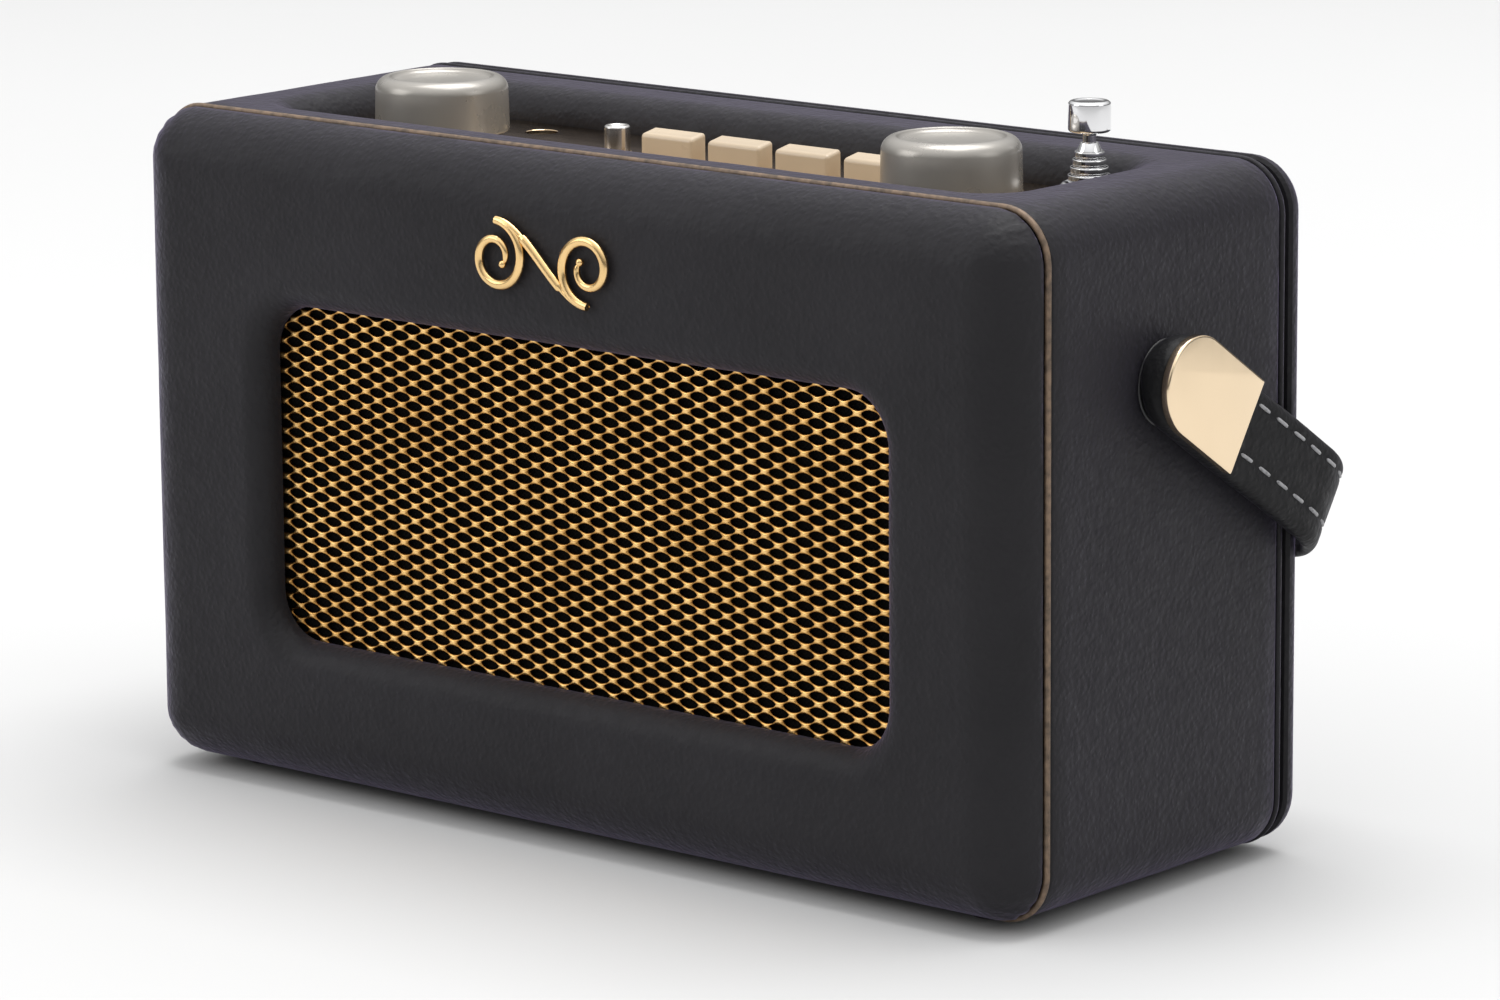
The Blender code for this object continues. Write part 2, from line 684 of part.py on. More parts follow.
def knob_profile():
    """A shell with a dished top and a boss for the shaft, its heights from the panel."""
    low, high = KNOB_BOTTOM - PANEL_TOP, KNOB_TOP - PANEL_TOP
    edge, dish = 2.6, 0.9
    profile = [(0, high - dish), (8.2, high - dish), (9.2, high - 0.25)]
    profile += arc((KNOB_RADIUS - edge - 0.2, high - edge), edge, 90, 8, 3)
    profile += [(KNOB_RADIUS, low + 0.5), (KNOB_RADIUS - 0.3, low)]
    profile += [(KNOB_RADIUS - 1.7, low), (KNOB_RADIUS - 1.9, high - 3.2)]
    profile += [(5.2, high - 3.2), (5.2, low + 2.2), (SHAFT_RADIUS + 0.12, low + 2.2)]
    profile += [(SHAFT_RADIUS + 0.12, high - 2.2), (0, high - 2.2)]
    return profile


def encoder(name, x):
    """A housing with a threaded neck, bored for the shaft and hollow below for its plunger."""
    neck_top = KNOB_BOTTOM + 0.6
    bore = SHAFT_RADIUS + 0.12
    body = span_block((-6.5, -6.5, BOARD_TOP + GAP), (6.5, 6.5, ENCODER_TOP))
    body = add(name, finished(body), STEEL, (x, KNOB_Y, 0))
    neck = cutter(finished(rod(NECK_RADIUS - 0.2, ENCODER_TOP - 1, neck_top)), (x, KNOB_Y, 0))
    combine(body, neck, "UNION")
    chamber = rod(4.8, CHAMBER[0], CHAMBER[1])
    combine(body, cutter(finished(chamber), (x, KNOB_Y, 0)))
    hole = rod(bore, CHAMBER[1] - 1, neck_top + 1)
    combine(body, cutter(finished(hole), (x, KNOB_Y, 0)))


def knobs():
    encoder("tuning_encoder", -KNOB_X)
    encoder("volume_encoder", KNOB_X)
    plunger_low = CHAMBER[0] + PUSH_TRAVEL + 0.2
    plunger_high = plunger_low + 1.2
    disc = [(0, plunger_high), (4.4, plunger_high), (4.4, plunger_low), (0, plunger_low)]
    turned("tuning_plunger", disc, STEEL, (-KNOB_X, KNOB_Y, 0), 20)
    shaft_top = KNOB_TOP - 2.5
    for name, x, low in (
        ("tuning", -KNOB_X, plunger_high + 0.15),
        ("volume", KNOB_X, CHAMBER[0] + 0.6),
    ):
        collar = low + 1.0
        profile = [(0, shaft_top), (SHAFT_RADIUS, shaft_top), (SHAFT_RADIUS, collar)]
        profile += [(4.2, collar), (4.2, low), (0, low)]
        turned(f"{name}_shaft", profile, STEEL, (x, KNOB_Y, 0), 24)
        turned(f"{name}_knob", knob_profile(), KNOB_PLASTIC, (x, KNOB_Y, PANEL_TOP), 30)


def headphone_jack():
    bore, collar, body = 1.8, 2.6, 4.2
    low, high = BOARD_TOP + GAP, PANEL_TOP - 0.7
    shoulder = TRAY_BOTTOM - GAP
    profile = [(bore, high), (collar, high), (collar, shoulder), (body, shoulder)]
    profile += [(body, low), (bore, low)]
    turned("headphone_jack", profile, STEEL, (JACK_X, JACK_Y, 0), 16, closed=True)


# ---------------------------------------------------------------- aerial


def aerial():
    """Five nested tubes and a capped rod, in a bush that the outermost turns in."""
    place = (AERIAL_X, AERIAL_Y, 0)
    outer = TUBE_RADII[0]
    bore = outer + 0.2
    flange = (PANEL_TOP + GAP, PANEL_TOP + 2.6)
    bush_low = TRAY_BOTTOM - 3
    profile = [(bore, flange[1]), (4.6, flange[1]), (5.3, flange[1] - 0.6), (5.3, flange[0])]
    profile += [(AERIAL_NECK, flange[0]), (AERIAL_NECK, bush_low), (bore, bush_low)]
    turned("aerial_bush", profile, CHROME, place, 20, closed=True)

    names = ["aerial_tube"] + [f"aerial_section_{n}" for n in (1, 2, 3, 4)]
    for step, (name, radius, top) in enumerate(zip(names, TUBE_RADII, TUBE_TOPS)):
        low = TUBE_FOOT + FOOT_STEP * step
        inside = radius - TUBE_WALL
        if step < len(names) - 1:
            profile = [(inside, top), (radius - 0.1, top), (radius, top - 0.25)]
            profile += [(radius, low), (inside, low)]
        else:
            cone = 1.6
            throat = ROD_RADIUS + 0.12
            profile = [(throat, top), (throat + 0.1, top), (radius, top - cone), (radius, low)]
            profile += [(inside, low), (inside, top - cone - 0.4), (throat, top - 0.7)]
        turned(name, profile, CHROME, place, 16, closed=True)

    low = TUBE_FOOT + FOOT_STEP * len(names)
    profile = [(0, CAP_TOP), (CAP_RADIUS - 0.4, CAP_TOP), (CAP_RADIUS, CAP_TOP - 0.3)]
    profile += [(CAP_RADIUS, CAP_BOTTOM + 0.2), (CAP_RADIUS - 0.3, CAP_BOTTOM)]
    profile += [(ROD_RADIUS, CAP_BOTTOM), (ROD_RADIUS, low + 4), (1.75, low + 4)]
    profile += [(1.75, low), (0, low)]
    turned("aerial_tip", profile, CHROME, place, 16)


# ---------------------------------------------------------------- handle


def strap_ring(face, across, half, thick):
    """A cross-section of the strap, inwards from its outer face, with rounded edges."""
    edge = min(STRAP_EDGE, half * 0.6)
    side = thick * 0.275
    shape = [(-side, half), (0, half - edge), (0, edge - half), (-side, -half)]
    shape += [(-thick - t, w) for t, w in reversed(shape)]
    return [(face[0] + across[0] * t, face[1] + across[1] * t, w) for t, w in shape]


def strap_path():
    """Half of the strap's outer face as (x, reach), from its end to the grip's middle,
    each with the outward direction, the strap's half width and its thickness."""
    stations = []
    for angle in (80, 62, 42, 20):
        reach = -STRAP_HALF_WIDTH * math.sin(math.radians(angle))
        half = STRAP_HALF_WIDTH * math.cos(math.radians(angle))
        stations.append(((STRAP_X, reach), (1, 0), half, ARM_THICKNESS))
    bend = (STRAP_X + STRAP_FLARE - BEND_RADIUS, STRAP_REACH - BEND_RADIUS)
    for reach, flare in ((0, 0), (PLATE_LENGTH - 2, 0), (24, 0.45), (33, 1)):
        spot = (STRAP_X + STRAP_FLARE * flare, reach)
        stations.append((spot, (1, 0), STRAP_HALF_WIDTH, ARM_THICKNESS))
    for step in range(8):
        angle = math.radians(90 * step / 7)
        way = (math.cos(angle), math.sin(angle))
        point = (bend[0] + BEND_RADIUS * way[0], bend[1] + BEND_RADIUS * way[1])
        thick = ARM_THICKNESS + (GRIP_THICKNESS - ARM_THICKNESS) * min(1, step / 4)
        stations.append((point, way, STRAP_HALF_WIDTH, thick))
    stations.append(((bend[0] / 3, STRAP_REACH), (0, 1), STRAP_HALF_WIDTH, GRIP_THICKNESS))
    return stations


def handle():
    """The handle in its own frame: X through both pivots, Y along its reach, Z across it."""
    pivot = bpy.data.objects.new("handle_pivot", None)
    pivot.parent = case_centre
    pivot.location = (0, 0, PIVOT_Z * MM)
    pivot.rotation_euler = (-HANDLE_ANGLE, 0, 0)
    radio.objects.link(pivot)

    right = [strap_ring(*station) for station in strap_path()]
    left = [[(-x, y, z) for x, y, z in ring] for ring in reversed(right)]
    strap = add("handle_strap", finished(loft(right + left, False)), STRAP_LEATHER, parent=pivot)
    eye = cutter(finished(rod(STUD_RADIUS + 0.2, -WIDTH, WIDTH, axis="X")), parent=pivot)
    combine(strap, eye)

    outline = arc((0, 0), PLATE_RADIUS, 90, 270, 10)
    outline += [(PLATE_LENGTH, -PLATE_RADIUS), (PLATE_LENGTH, PLATE_RADIUS)]
    chamfered = [(x * 0.965 + 0.2, z * 0.965) for x, z in outline]
    for name, side in (("end_plate_right", 1), ("end_plate_left", -1)):
        levels = [(PLATE_X[0], outline), (PLATE_X[1] - 0.3, outline), (PLATE_X[1], chamfered)]
        rings = [[(side * x, y, z) for y, z in points] for x, points in levels]
        plate = add(name, finished(loft(rings, False)), PALE_GOLD, parent=pivot)
        ends = sorted((side * (CAVITY_X + 1), side * (PLATE_X[0] + 0.8)))
        stud = cutter(finished(rod(STUD_RADIUS, *ends, axis="X")), parent=pivot)
        combine(plate, stud, "UNION")

    face = WIDTH / 2 + GAP
    collar = STRAP_X - ARM_THICKNESS - GAP
    bore = STUD_RADIUS + 0.08
    for name, side in (("handle_boss_right", 1), ("handle_boss_left", -1)):
        profile = [(bore, collar), (7.4, collar), (7.6, collar - 0.2), (7.6, face)]
        profile += [(BUSH_RADIUS, face), (BUSH_RADIUS, CAVITY_X), (bore, CAVITY_X)]
        boss = turned(name, profile, BLACK_PLASTIC, (0, 0, PIVOT_Z), 20, closed=True)
        boss.rotation_euler = (0, side * math.radians(90), 0)


# ---------------------------------------------------------------- inside


def speaker():
    """A full-range driver behind the baffle, its parts turned about its own axis."""
    place = (SPEAKER_X, BAFFLE_Y[1] + GAP, SPEAKER_Z)
    rim, neck = SPEAKER_RADIUS, 15.0
    basket = [(neck, 18.0), (neck + 1.2, 18.0), (rim - 4, 1.6), (rim, 1.6), (rim, 0)]
    basket += [(rim - 5, 0), (rim - 5, 1.0), (neck, 17.2)]
    turned("speaker_basket", basket, STEEL, place, 24, closed=True, axis="Y")
    cone = [(0, 8.5), (5, 10.5), (8.6, 13.0), (rim - 6.5, 0.4), (rim - 5.6, 0.4)]
    cone += [(rim - 5.8, 1.2), (9.0, 14.6), (0, 14.6)]
    turned("speaker_cone", cone[::-1], PAPER, place, 24, axis="Y")
    magnet = [(0, 29.0), (21, 29.0), (22, 28.0), (22, 19.3), (21, 18.5), (0, 18.5)]
    turned("speaker_magnet", magnet, STEEL, place, 20, axis="Y")


def main_board():
    """Upright against the left wall, with a heat sink and a coil box on it."""
    board = span_block((-90, -22, 24), (-88.4, 26, 98))
    board = add("main_board", finished(board), BOARD_GREEN)
    for low, high in (((-89, -15, 32), (-80, 5, 52)), ((-89, -12, 62), (-82, 8, 76))):
        combine(board, cutter(finished(span_block(low, high))), "UNION")


padded_front()
badge()
piping("piping_front", PIPING_FRONT_Y, PIPING)
piping("piping_rear", PIPING_REAR_Y, LEATHER)
case()
feet()
back()
sockets()
batteries()
controls()
keys()
knobs()
headphone_jack()
aerial()
handle()
speaker()
main_board()
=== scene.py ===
"""Looks of the leathercloth portable radio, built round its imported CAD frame.

Lengths are in millimetres, measured from CASE, the middle of the case's underside: +X is to
the right, -Y out of the front and +Z up. Meshes are scaled to metres as they are made.
"""
import json
import math
import random

import bmesh
import bpy
from mathutils import Matrix, Vector, noise


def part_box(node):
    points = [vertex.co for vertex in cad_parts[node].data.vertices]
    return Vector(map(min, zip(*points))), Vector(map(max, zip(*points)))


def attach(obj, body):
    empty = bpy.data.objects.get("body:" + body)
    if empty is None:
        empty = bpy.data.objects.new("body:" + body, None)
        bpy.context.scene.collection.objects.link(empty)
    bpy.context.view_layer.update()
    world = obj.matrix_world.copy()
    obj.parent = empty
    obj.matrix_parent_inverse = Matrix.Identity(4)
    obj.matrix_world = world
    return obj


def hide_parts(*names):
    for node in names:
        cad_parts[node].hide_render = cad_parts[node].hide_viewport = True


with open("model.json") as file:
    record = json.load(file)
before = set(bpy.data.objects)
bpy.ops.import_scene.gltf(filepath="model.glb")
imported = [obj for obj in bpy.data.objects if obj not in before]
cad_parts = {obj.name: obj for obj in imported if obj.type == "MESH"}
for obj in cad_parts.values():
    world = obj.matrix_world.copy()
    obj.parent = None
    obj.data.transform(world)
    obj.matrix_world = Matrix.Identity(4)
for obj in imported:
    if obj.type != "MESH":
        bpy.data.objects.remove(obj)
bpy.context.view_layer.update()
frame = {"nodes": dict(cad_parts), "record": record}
random.seed(7)

MM = 0.001
TAU = 2 * math.pi

front_low, front_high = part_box("front_cover")
back_low, back_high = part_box("back_cover")
CASE = Vector(((front_low.x + front_high.x) / 2, (front_low.y + back_high.y) / 2, front_low.z))


def span(node):
    """A CAD node's lowest and highest corners, in millimetres from CASE."""
    low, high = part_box(node)
    return (low - CASE) / MM, (high - CASE) / MM


def measured(node):
    """As span, with the node's middle."""
    low, high = span(node)
    return low, high, (low + high) / 2


def clamp(value, low, high):
    return max(low, min(high, value))


# ---------------- dimensions

front_low, front_high = span("front_cover")
back_low, back_high = span("back_cover")
sleeve_low, sleeve_high = span("cabinet_cover")
panel_low, panel_high = span("control_panel")
WIDTH = front_high.x - front_low.x
HEIGHT = front_high.z
FRONT_Y = front_low.y
BACK_Y = back_high.y
CORNER = 9.4
FRONT_ROUND = 11.0
BACK_ROUND = 3.8
PANEL_TOP = panel_high.z
WELL_HALF = (panel_high.x + 0.3, (panel_high.y - panel_low.y) / 2 + 0.3)
WELL_CORNER = 5.0
WELL_ROLL = HEIGHT - PANEL_TOP
WINDOW_CENTRE = (2.0, 57.7)
WINDOW_HALF = (71.9, 31.0)
WINDOW_CORNER = 9.0
WINDOW_ROLL = 5.0
RAISED = 0.12  # where the grille's nodes stand in its thickness


# ---------------- materials


def fill_ramp(ramp, stops):
    """Sets a ramp's places, each with a colour or a grey level."""
    while len(ramp.elements) < len(stops):
        ramp.elements.new(0.5)
    for element, (place, level) in zip(ramp.elements, stops):
        element.position = place
        colour = (level, level, level) if isinstance(level, (int, float)) else level
        element.color = (*colour, 1)


class Nodes:
    """A material's node tree, with short calls for the nodes that the looks use."""

    def __init__(self, name, colour, roughness, **sockets):
        self.material = bpy.data.materials.new(name)
        self.material.use_nodes = True
        self.tree = self.material.node_tree
        self.shader = self.tree.nodes["Principled BSDF"]
        self.shader.inputs["Base Color"].default_value = (*colour, 1)
        self.shader.inputs["Roughness"].default_value = roughness
        for socket, value in sockets.items():
            name = socket.replace("_", " ").title().replace("Ior", "IOR")
            self.shader.inputs[name].default_value = value
        self.material.diffuse_color = (*colour, 1)
        self.place = self.make("ShaderNodeTexCoord").outputs["Object"]

    def make(self, kind, **settings):
        node = self.tree.nodes.new(kind)
        for key, value in settings.items():
            if key in node.inputs:
                node.inputs[key].default_value = value
            else:
                setattr(node, key, value)
        return node

    def link(self, output, target):
        self.tree.links.new(output, target)

    def stretched(self, scale):
        mapping = self.make("ShaderNodeMapping")
        mapping.inputs["Scale"].default_value = scale
        self.link(self.place, mapping.inputs["Vector"])
        return mapping.outputs["Vector"]

    def between(self, axis, start, end):
        """How far a place lies along an axis, 0 at the start and 1 at the end."""
        split = self.make("ShaderNodeSeparateXYZ")
        self.link(self.place, split.inputs[0])
        share = self.make("ShaderNodeMapRange")
        share.inputs["From Min"].default_value = start
        share.inputs["From Max"].default_value = end
        self.link(split.outputs[axis], share.inputs["Value"])
        return share.outputs[0]

    def noise(self, scale, detail=3.0, place=None):
        node = self.make("ShaderNodeTexNoise", Scale=scale, Detail=detail)
        self.link(place or self.place, node.inputs["Vector"])
        return node.outputs["Fac"]

    def cells(self, scale, place=None, feature="F1"):
        node = self.make("ShaderNodeTexVoronoi", feature=feature, Scale=scale)
        self.link(place or self.place, node.inputs["Vector"])
        return node.outputs["Distance"]

    def math(self, operation, first, second):
        node = self.make("ShaderNodeMath", operation=operation)
        for value, socket in ((first, node.inputs[0]), (second, node.inputs[1])):
            if isinstance(value, (int, float)):
                socket.default_value = value
            else:
                self.link(value, socket)
        return node.outputs[0]

    def ramp(self, factor, *stops):
        """Colours or grey levels at places from 0 to 1."""
        node = self.make("ShaderNodeValToRGB")
        fill_ramp(node.color_ramp, stops)
        self.link(factor, node.inputs["Fac"])
        return node.outputs["Color"]

    def colour(self, factor, *stops):
        self.link(self.ramp(factor, *stops), self.shader.inputs["Base Color"])

    def roughness(self, factor, *stops):
        self.link(self.ramp(factor, *stops), self.shader.inputs["Roughness"])

    def bump(self, height, depth, strength=1.0, below=None):
        node = self.make("ShaderNodeBump", Strength=strength, Distance=depth * MM)
        self.link(height, node.inputs["Height"])
        if below is not None:
            self.link(below, node.inputs["Normal"])
        self.link(node.outputs["Normal"], self.shader.inputs["Normal"])
        return node.outputs["Normal"]


def leathercloth(name, dark, light, sheen):
    """Embossed vinyl leathercloth: pebbles with creases between them, and faint wear."""
    made = Nodes(name, light, 0.5, specular_ior_level=0.16, sheen_weight=sheen)
    made.shader.inputs["Sheen Roughness"].default_value = 0.35
    made.shader.inputs["Sheen Tint"].default_value = (0.72, 0.62, 1.0, 1)
    patches = made.noise(28, 4)
    made.colour(patches, (0.3, dark), (0.7, light))
    wander = made.make("ShaderNodeVectorMath", operation="ADD")
    drift = made.make("ShaderNodeTexNoise", Scale=420.0, Detail=2.0)
    made.link(made.place, drift.inputs["Vector"])
    less = made.make("ShaderNodeVectorMath", operation="SCALE", Scale=0.0011)
    made.link(drift.outputs["Color"], less.inputs[0])
    made.link(made.place, wander.inputs[0])
    made.link(less.outputs[0], wander.inputs[1])
    pebbles = made.cells(1000, wander.outputs[0], "SMOOTH_F1")
    fine = made.noise(2600, 3)
    creases = made.math("MULTIPLY", pebbles, -1.0)
    grain = made.math("ADD", creases, made.math("MULTIPLY", fine, 0.25))
    slack = made.bump(made.noise(60, 2), 0.3, 0.35)
    made.bump(grain, 0.2, 0.7, slack)
    made.roughness(made.noise(350, 3), (0.3, 0.44), (0.7, 0.6))
    return made.material


def plastic(name, colour, roughness, grain=0.02, grain_scale=2500, **sockets):
    """Moulded plastic: a spark-eroded skin, with slight unevenness in its gloss and colour."""
    made = Nodes(name, colour, roughness, **sockets)
    darker = tuple(level * 0.93 for level in colour)
    made.colour(made.noise(60, 3), (0.35, darker), (0.65, colour))
    made.roughness(made.noise(140, 4), (0.3, roughness * 0.85), (0.7, min(1, roughness * 1.15)))
    made.bump(made.noise(grain_scale, 2), grain, 0.6)
    return made.material


def metal(name, colour, roughness, direction=(1, 1, 1), wear=0.2, grain=0.004):
    """Metal with a brushed or drawn direction, and smudges in its gloss."""
    made = Nodes(name, colour, roughness, metallic=1.0)
    darker = tuple(level * (1 - wear) for level in colour)
    lines = made.noise(900, 4, made.stretched(direction))
    made.colour(made.noise(75, 4), (0.3, darker), (0.6, colour))
    cloudy = made.math("MULTIPLY", made.noise(110, 3), 0.5)
    smudges = made.math("ADD", made.math("MULTIPLY", lines, 0.5), cloudy)
    made.roughness(smudges, (0.3, roughness * 0.75), (0.7, min(1, roughness * 1.35)))
    made.bump(lines, grain, 0.5)
    return made.material


def gold_with_depth_shade(name, node):
    """Gold with painted shade: its own bright colour on a CAD node's raised places, painted tan and
    then darker deeper in the recesses behind, where shade falls.
    """
    low, high = span(node)
    front, back = [low.y + (high.y - low.y) * share for share in (RAISED, 0.5)]
    made = Nodes(name, (0.95, 0.6, 0.22), 0.3, metallic=1.0)
    depth = made.between(1, CASE.y + front * MM, CASE.y + back * MM)
    # Painted shade: the colour darkens with depth behind the nodes, with a little random mottle
    # added.
    recess_shade_and_mottle = made.math("ADD", depth, made.math("MULTIPLY", made.noise(180, 4), 0.12))
    # bright is the gold's own colour; tan and the darkest stop are painted shade for the recesses.
    bright, tan, recess_shade_colour = (0.95, 0.62, 0.25), (0.62, 0.34, 0.1), (0.22, 0.1, 0.025)
    made.colour(recess_shade_and_mottle, (0.1, bright), (0.32, tan), (0.75, recess_shade_colour))
    made.roughness(made.noise(110, 3), (0.3, 0.24), (0.7, 0.4))
    made.bump(made.noise(900, 4), 0.01, 0.5)
    return made.material


def woven(name, dark, light, pitch):
    """Cloth woven from round threads, over and under."""
    made = Nodes(name, light, 0.9, specular_ior_level=0.1)
    waves = []
    for axis in (0, 2):
        scale = [0.0, 0.0, 0.0]
        scale[axis] = 1 / (pitch * MM)
        split = made.make("ShaderNodeSeparateXYZ")
        made.link(made.stretched(scale), split.inputs[0])
        waves.append(made.math("SINE", made.math("MULTIPLY", split.outputs[axis], math.pi), 0.0))
    weave = made.math("MULTIPLY", waves[0], waves[1])
    weave = made.math("ADD", made.math("MULTIPLY", weave, 0.5), 0.5)
    made.colour(weave, (0.2, dark), (0.8, light))
    made.bump(weave, 0.1, 0.8)
    return made.material


def fibreboard(name, dark, light):
    made = Nodes(name, light, 0.75)
    fibres = made.noise(240, 6, made.stretched((0.3, 1, 1)))
    made.colour(fibres, (0.3, dark), (0.7, light))
    made.bump(fibres, 0.15, 0.5)
    return made.material


def circuit_board(name):
    made = Nodes(name, (0.02, 0.2, 0.08), 0.35)
    tracks = made.cells(220, feature="DISTANCE_TO_EDGE")
    made.colour(tracks, (0.02, (0.05, 0.3, 0.12)), (0.08, (0.015, 0.14, 0.06)))
    made.bump(tracks, 0.05, 0.4)
    return made.material


def cell_jacket(name):
    """A battery's printed film: a dark body and a copper-coloured end, with no lettering."""
    made = Nodes(name, (0.3, 0.32, 0.36), 0.3, metallic=0.7)
    low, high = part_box("cell_1")
    rim, dark, copper = (0.6, 0.6, 0.6), (0.03, 0.035, 0.045), (0.75, 0.42, 0.2)
    bands = [(0.0, rim), (0.02, dark), (0.72, dark), (0.74, copper), (0.98, copper), (0.99, rim)]
    made.colour(made.between(0, low.x, high.x), *bands)
    made.roughness(made.noise(120, 3), (0.3, 0.22), (0.7, 0.4))
    return made.material


def welt_covering(name):
    """The thin tan strip that is folded round the front piping's cord."""
    made = Nodes(name, (0.2, 0.14, 0.1), 0.5, metallic=0.2)
    weave = made.noise(700, 3)
    made.bump(weave, 0.08, 0.6)
    made.colour(weave, (0.3, (0.09, 0.065, 0.045)), (0.65, (0.22, 0.15, 0.1)))
    return made.material


def waxed_thread(name):
    made = Nodes(name, (0.42, 0.42, 0.43), 0.7, sheen_weight=0.3)
    twist = made.cells(2600, made.stretched((1, 0.4, 0.4)))
    made.bump(twist, 0.08, 0.6)
    made.colour(twist, (0.1, (0.17, 0.17, 0.18)), (0.6, (0.32, 0.32, 0.33)))
    return made.material


FINISHES = {
    "leathercloth": leathercloth(
        "leathercloth", (0.0155, 0.015, 0.0165), (0.021, 0.0203, 0.0225), 0.27
    ),
    "strap_leather": leathercloth(
        "strap_leather", (0.008, 0.008, 0.0085), (0.012, 0.012, 0.013), 0.03
    ),
    # The carcass fibreboard is coloured near black; it shows only in the narrow groove behind the
    # rear piping, which comes out dark.
    "wood": fibreboard("near_black_fibreboard", (0.012, 0.011, 0.01), (0.03, 0.026, 0.022)),
    # The grille's gold carries painted shade, darker deeper in its recesses.
    "gold_grille": gold_with_depth_shade("grille_gold_with_painted_shade", "grille"),
    "acoustic_cloth": woven("acoustic_cloth", (0.001, 0.001, 0.001), (0.004, 0.0035, 0.003), 0.5),
    "badge_brass": metal("badge_gold", (0.92, 0.63, 0.29), 0.2, wear=0.12),
    "gold_piping": welt_covering("piping_gold"),
    "panel_brass": metal("panel_brass", (0.66, 0.5, 0.33), 0.12, (0.015, 1, 1), 0.08, 0.0015),
    "black_plastic": plastic("black_plastic", (0.016, 0.016, 0.017), 0.42, 0.06, 1800),
    "circuit_board": circuit_board("circuit_board"),
    "button_chrome": metal("button_chrome", (0.72, 0.7, 0.68), 0.2, (1, 1, 0.05), 0.08, 0.002),
    "ivory_plastic": plastic("ivory_plastic", (0.57, 0.455, 0.32), 0.3, coat_weight=0.15),
    "knob_plastic": plastic(
        "knob_plastic", (0.385, 0.365, 0.335), 0.3, 0.012, metallic=0.55, coat_weight=0.1
    ),
    "steel": metal("zinc_steel", (0.45, 0.45, 0.44), 0.4, (1, 1, 0.2), 0.2, 0.01),
    "chrome": metal("chrome", (0.84, 0.84, 0.85), 0.07, (1, 1, 0.05), 0.04, 0.001),
    "end_plate_gold": metal("end_plate_gold", (0.9, 0.72, 0.5), 0.14, (1, 1, 0.02), 0.03, 0.0015),
    "cone_paper": fibreboard("cone_paper", (0.02, 0.02, 0.02), (0.05, 0.05, 0.05)),
    "cell_jacket": cell_jacket("cell_jacket"),
    "rubber": plastic("rubber", (0.018, 0.018, 0.018), 0.75, 0.06, 900),
}
THREAD = waxed_thread("thread")

for part in frame["record"]["subparts"]:
    node = frame["nodes"][part["node"]]
    node.data.materials.clear()
    node.data.materials.append(FINISHES[part["material_slot"]])


# ---------------- mesh helpers


ROUND = (0, 352.5, 47)  # an arc's start, end and steps for a whole circle of 48 points


def arc(centre, radius, start, end, steps):
    """Points on an arc, in degrees, the two ends included."""
    angles = [math.radians(start + (end - start) * i / steps) for i in range(steps + 1)]
    return [(centre[0] + radius * math.cos(a), centre[1] + radius * math.sin(a)) for a in angles]


def outline(half, radius, steps=10, along=(1, 1)):
    """A rounded rectangle as points in order, its straight sides cut into equal lengths."""
    points = []
    corners = []
    for turn, (sx, sy) in enumerate(((1, 1), (-1, 1), (-1, -1), (1, -1))):
        centre = (sx * (half[0] - radius), sy * (half[1] - radius))
        corners.append(arc(centre, radius, 90 * turn, 90 * turn + 90, steps))
    for turn, corner in enumerate(corners):
        after = corners[(turn + 1) % 4][0]
        points += corner
        pieces = along[turn % 2]
        x, y = corner[-1]
        for i in range(1, pieces):
            t = i / pieces
            points.append((x + (after[0] - x) * t, y + (after[1] - y) * t))
    return points


def skin(bm, rings, close=False, cyclic=True):
    """Faces between rings of equal length. close joins the last ring to the first."""
    made = [[bm.verts.new(point) for point in ring] for ring in rings]
    pairs = list(zip(made, made[1:]))
    if close:
        pairs.append((made[-1], made[0]))
    for here, there in pairs:
        for i in range(len(here) if cyclic else len(here) - 1):
            j = (i + 1) % len(here)
            bm.faces.new((here[i], here[j], there[j], there[i]))
    return made


def lathe(bm, profile, sides, at, turn):
    """Turns a profile of (radius, height) about +Z, or about the axis that turn points +Z to."""
    move = Matrix.Translation(at) @ (turn or Matrix.Identity(4))
    ways = [(math.cos(TAU * i / sides), math.sin(TAU * i / sides)) for i in range(sides)]
    skin(bm, [[move @ Vector((r * x, r * y, height)) for x, y in ways] for r, height in profile])
    bmesh.ops.remove_doubles(bm, verts=bm.verts, dist=1e-5)


TO_X = Matrix.Rotation(math.radians(90), 4, "Y")
TO_MINUS_X = Matrix.Rotation(math.radians(-90), 4, "Y")
TO_Y = Matrix.Rotation(math.radians(-90), 4, "X")


def softened(profile, radius, steps):
    """A profile with its inner corners turned to small arcs."""
    result = [profile[0]]
    for before, here, after in zip(profile, profile[1:], profile[2:]):
        here, before, after = Vector(here), Vector(before), Vector(after)
        back, on = before - here, after - here
        cut = min(radius, back.length * 0.45, on.length * 0.45)
        start, end = here + back.normalized() * cut, here + on.normalized() * cut
        for i in range(steps + 1):
            t = i / steps
            point = start * (1 - t) ** 2 + here * 2 * t * (1 - t) + end * t**2
            result.append((max(point.x, 0.0), point.y))
    result.append(profile[-1])
    return result


def placed(name, data):
    made = bpy.data.objects.new(name, data)
    bpy.context.scene.collection.objects.link(made)
    return made


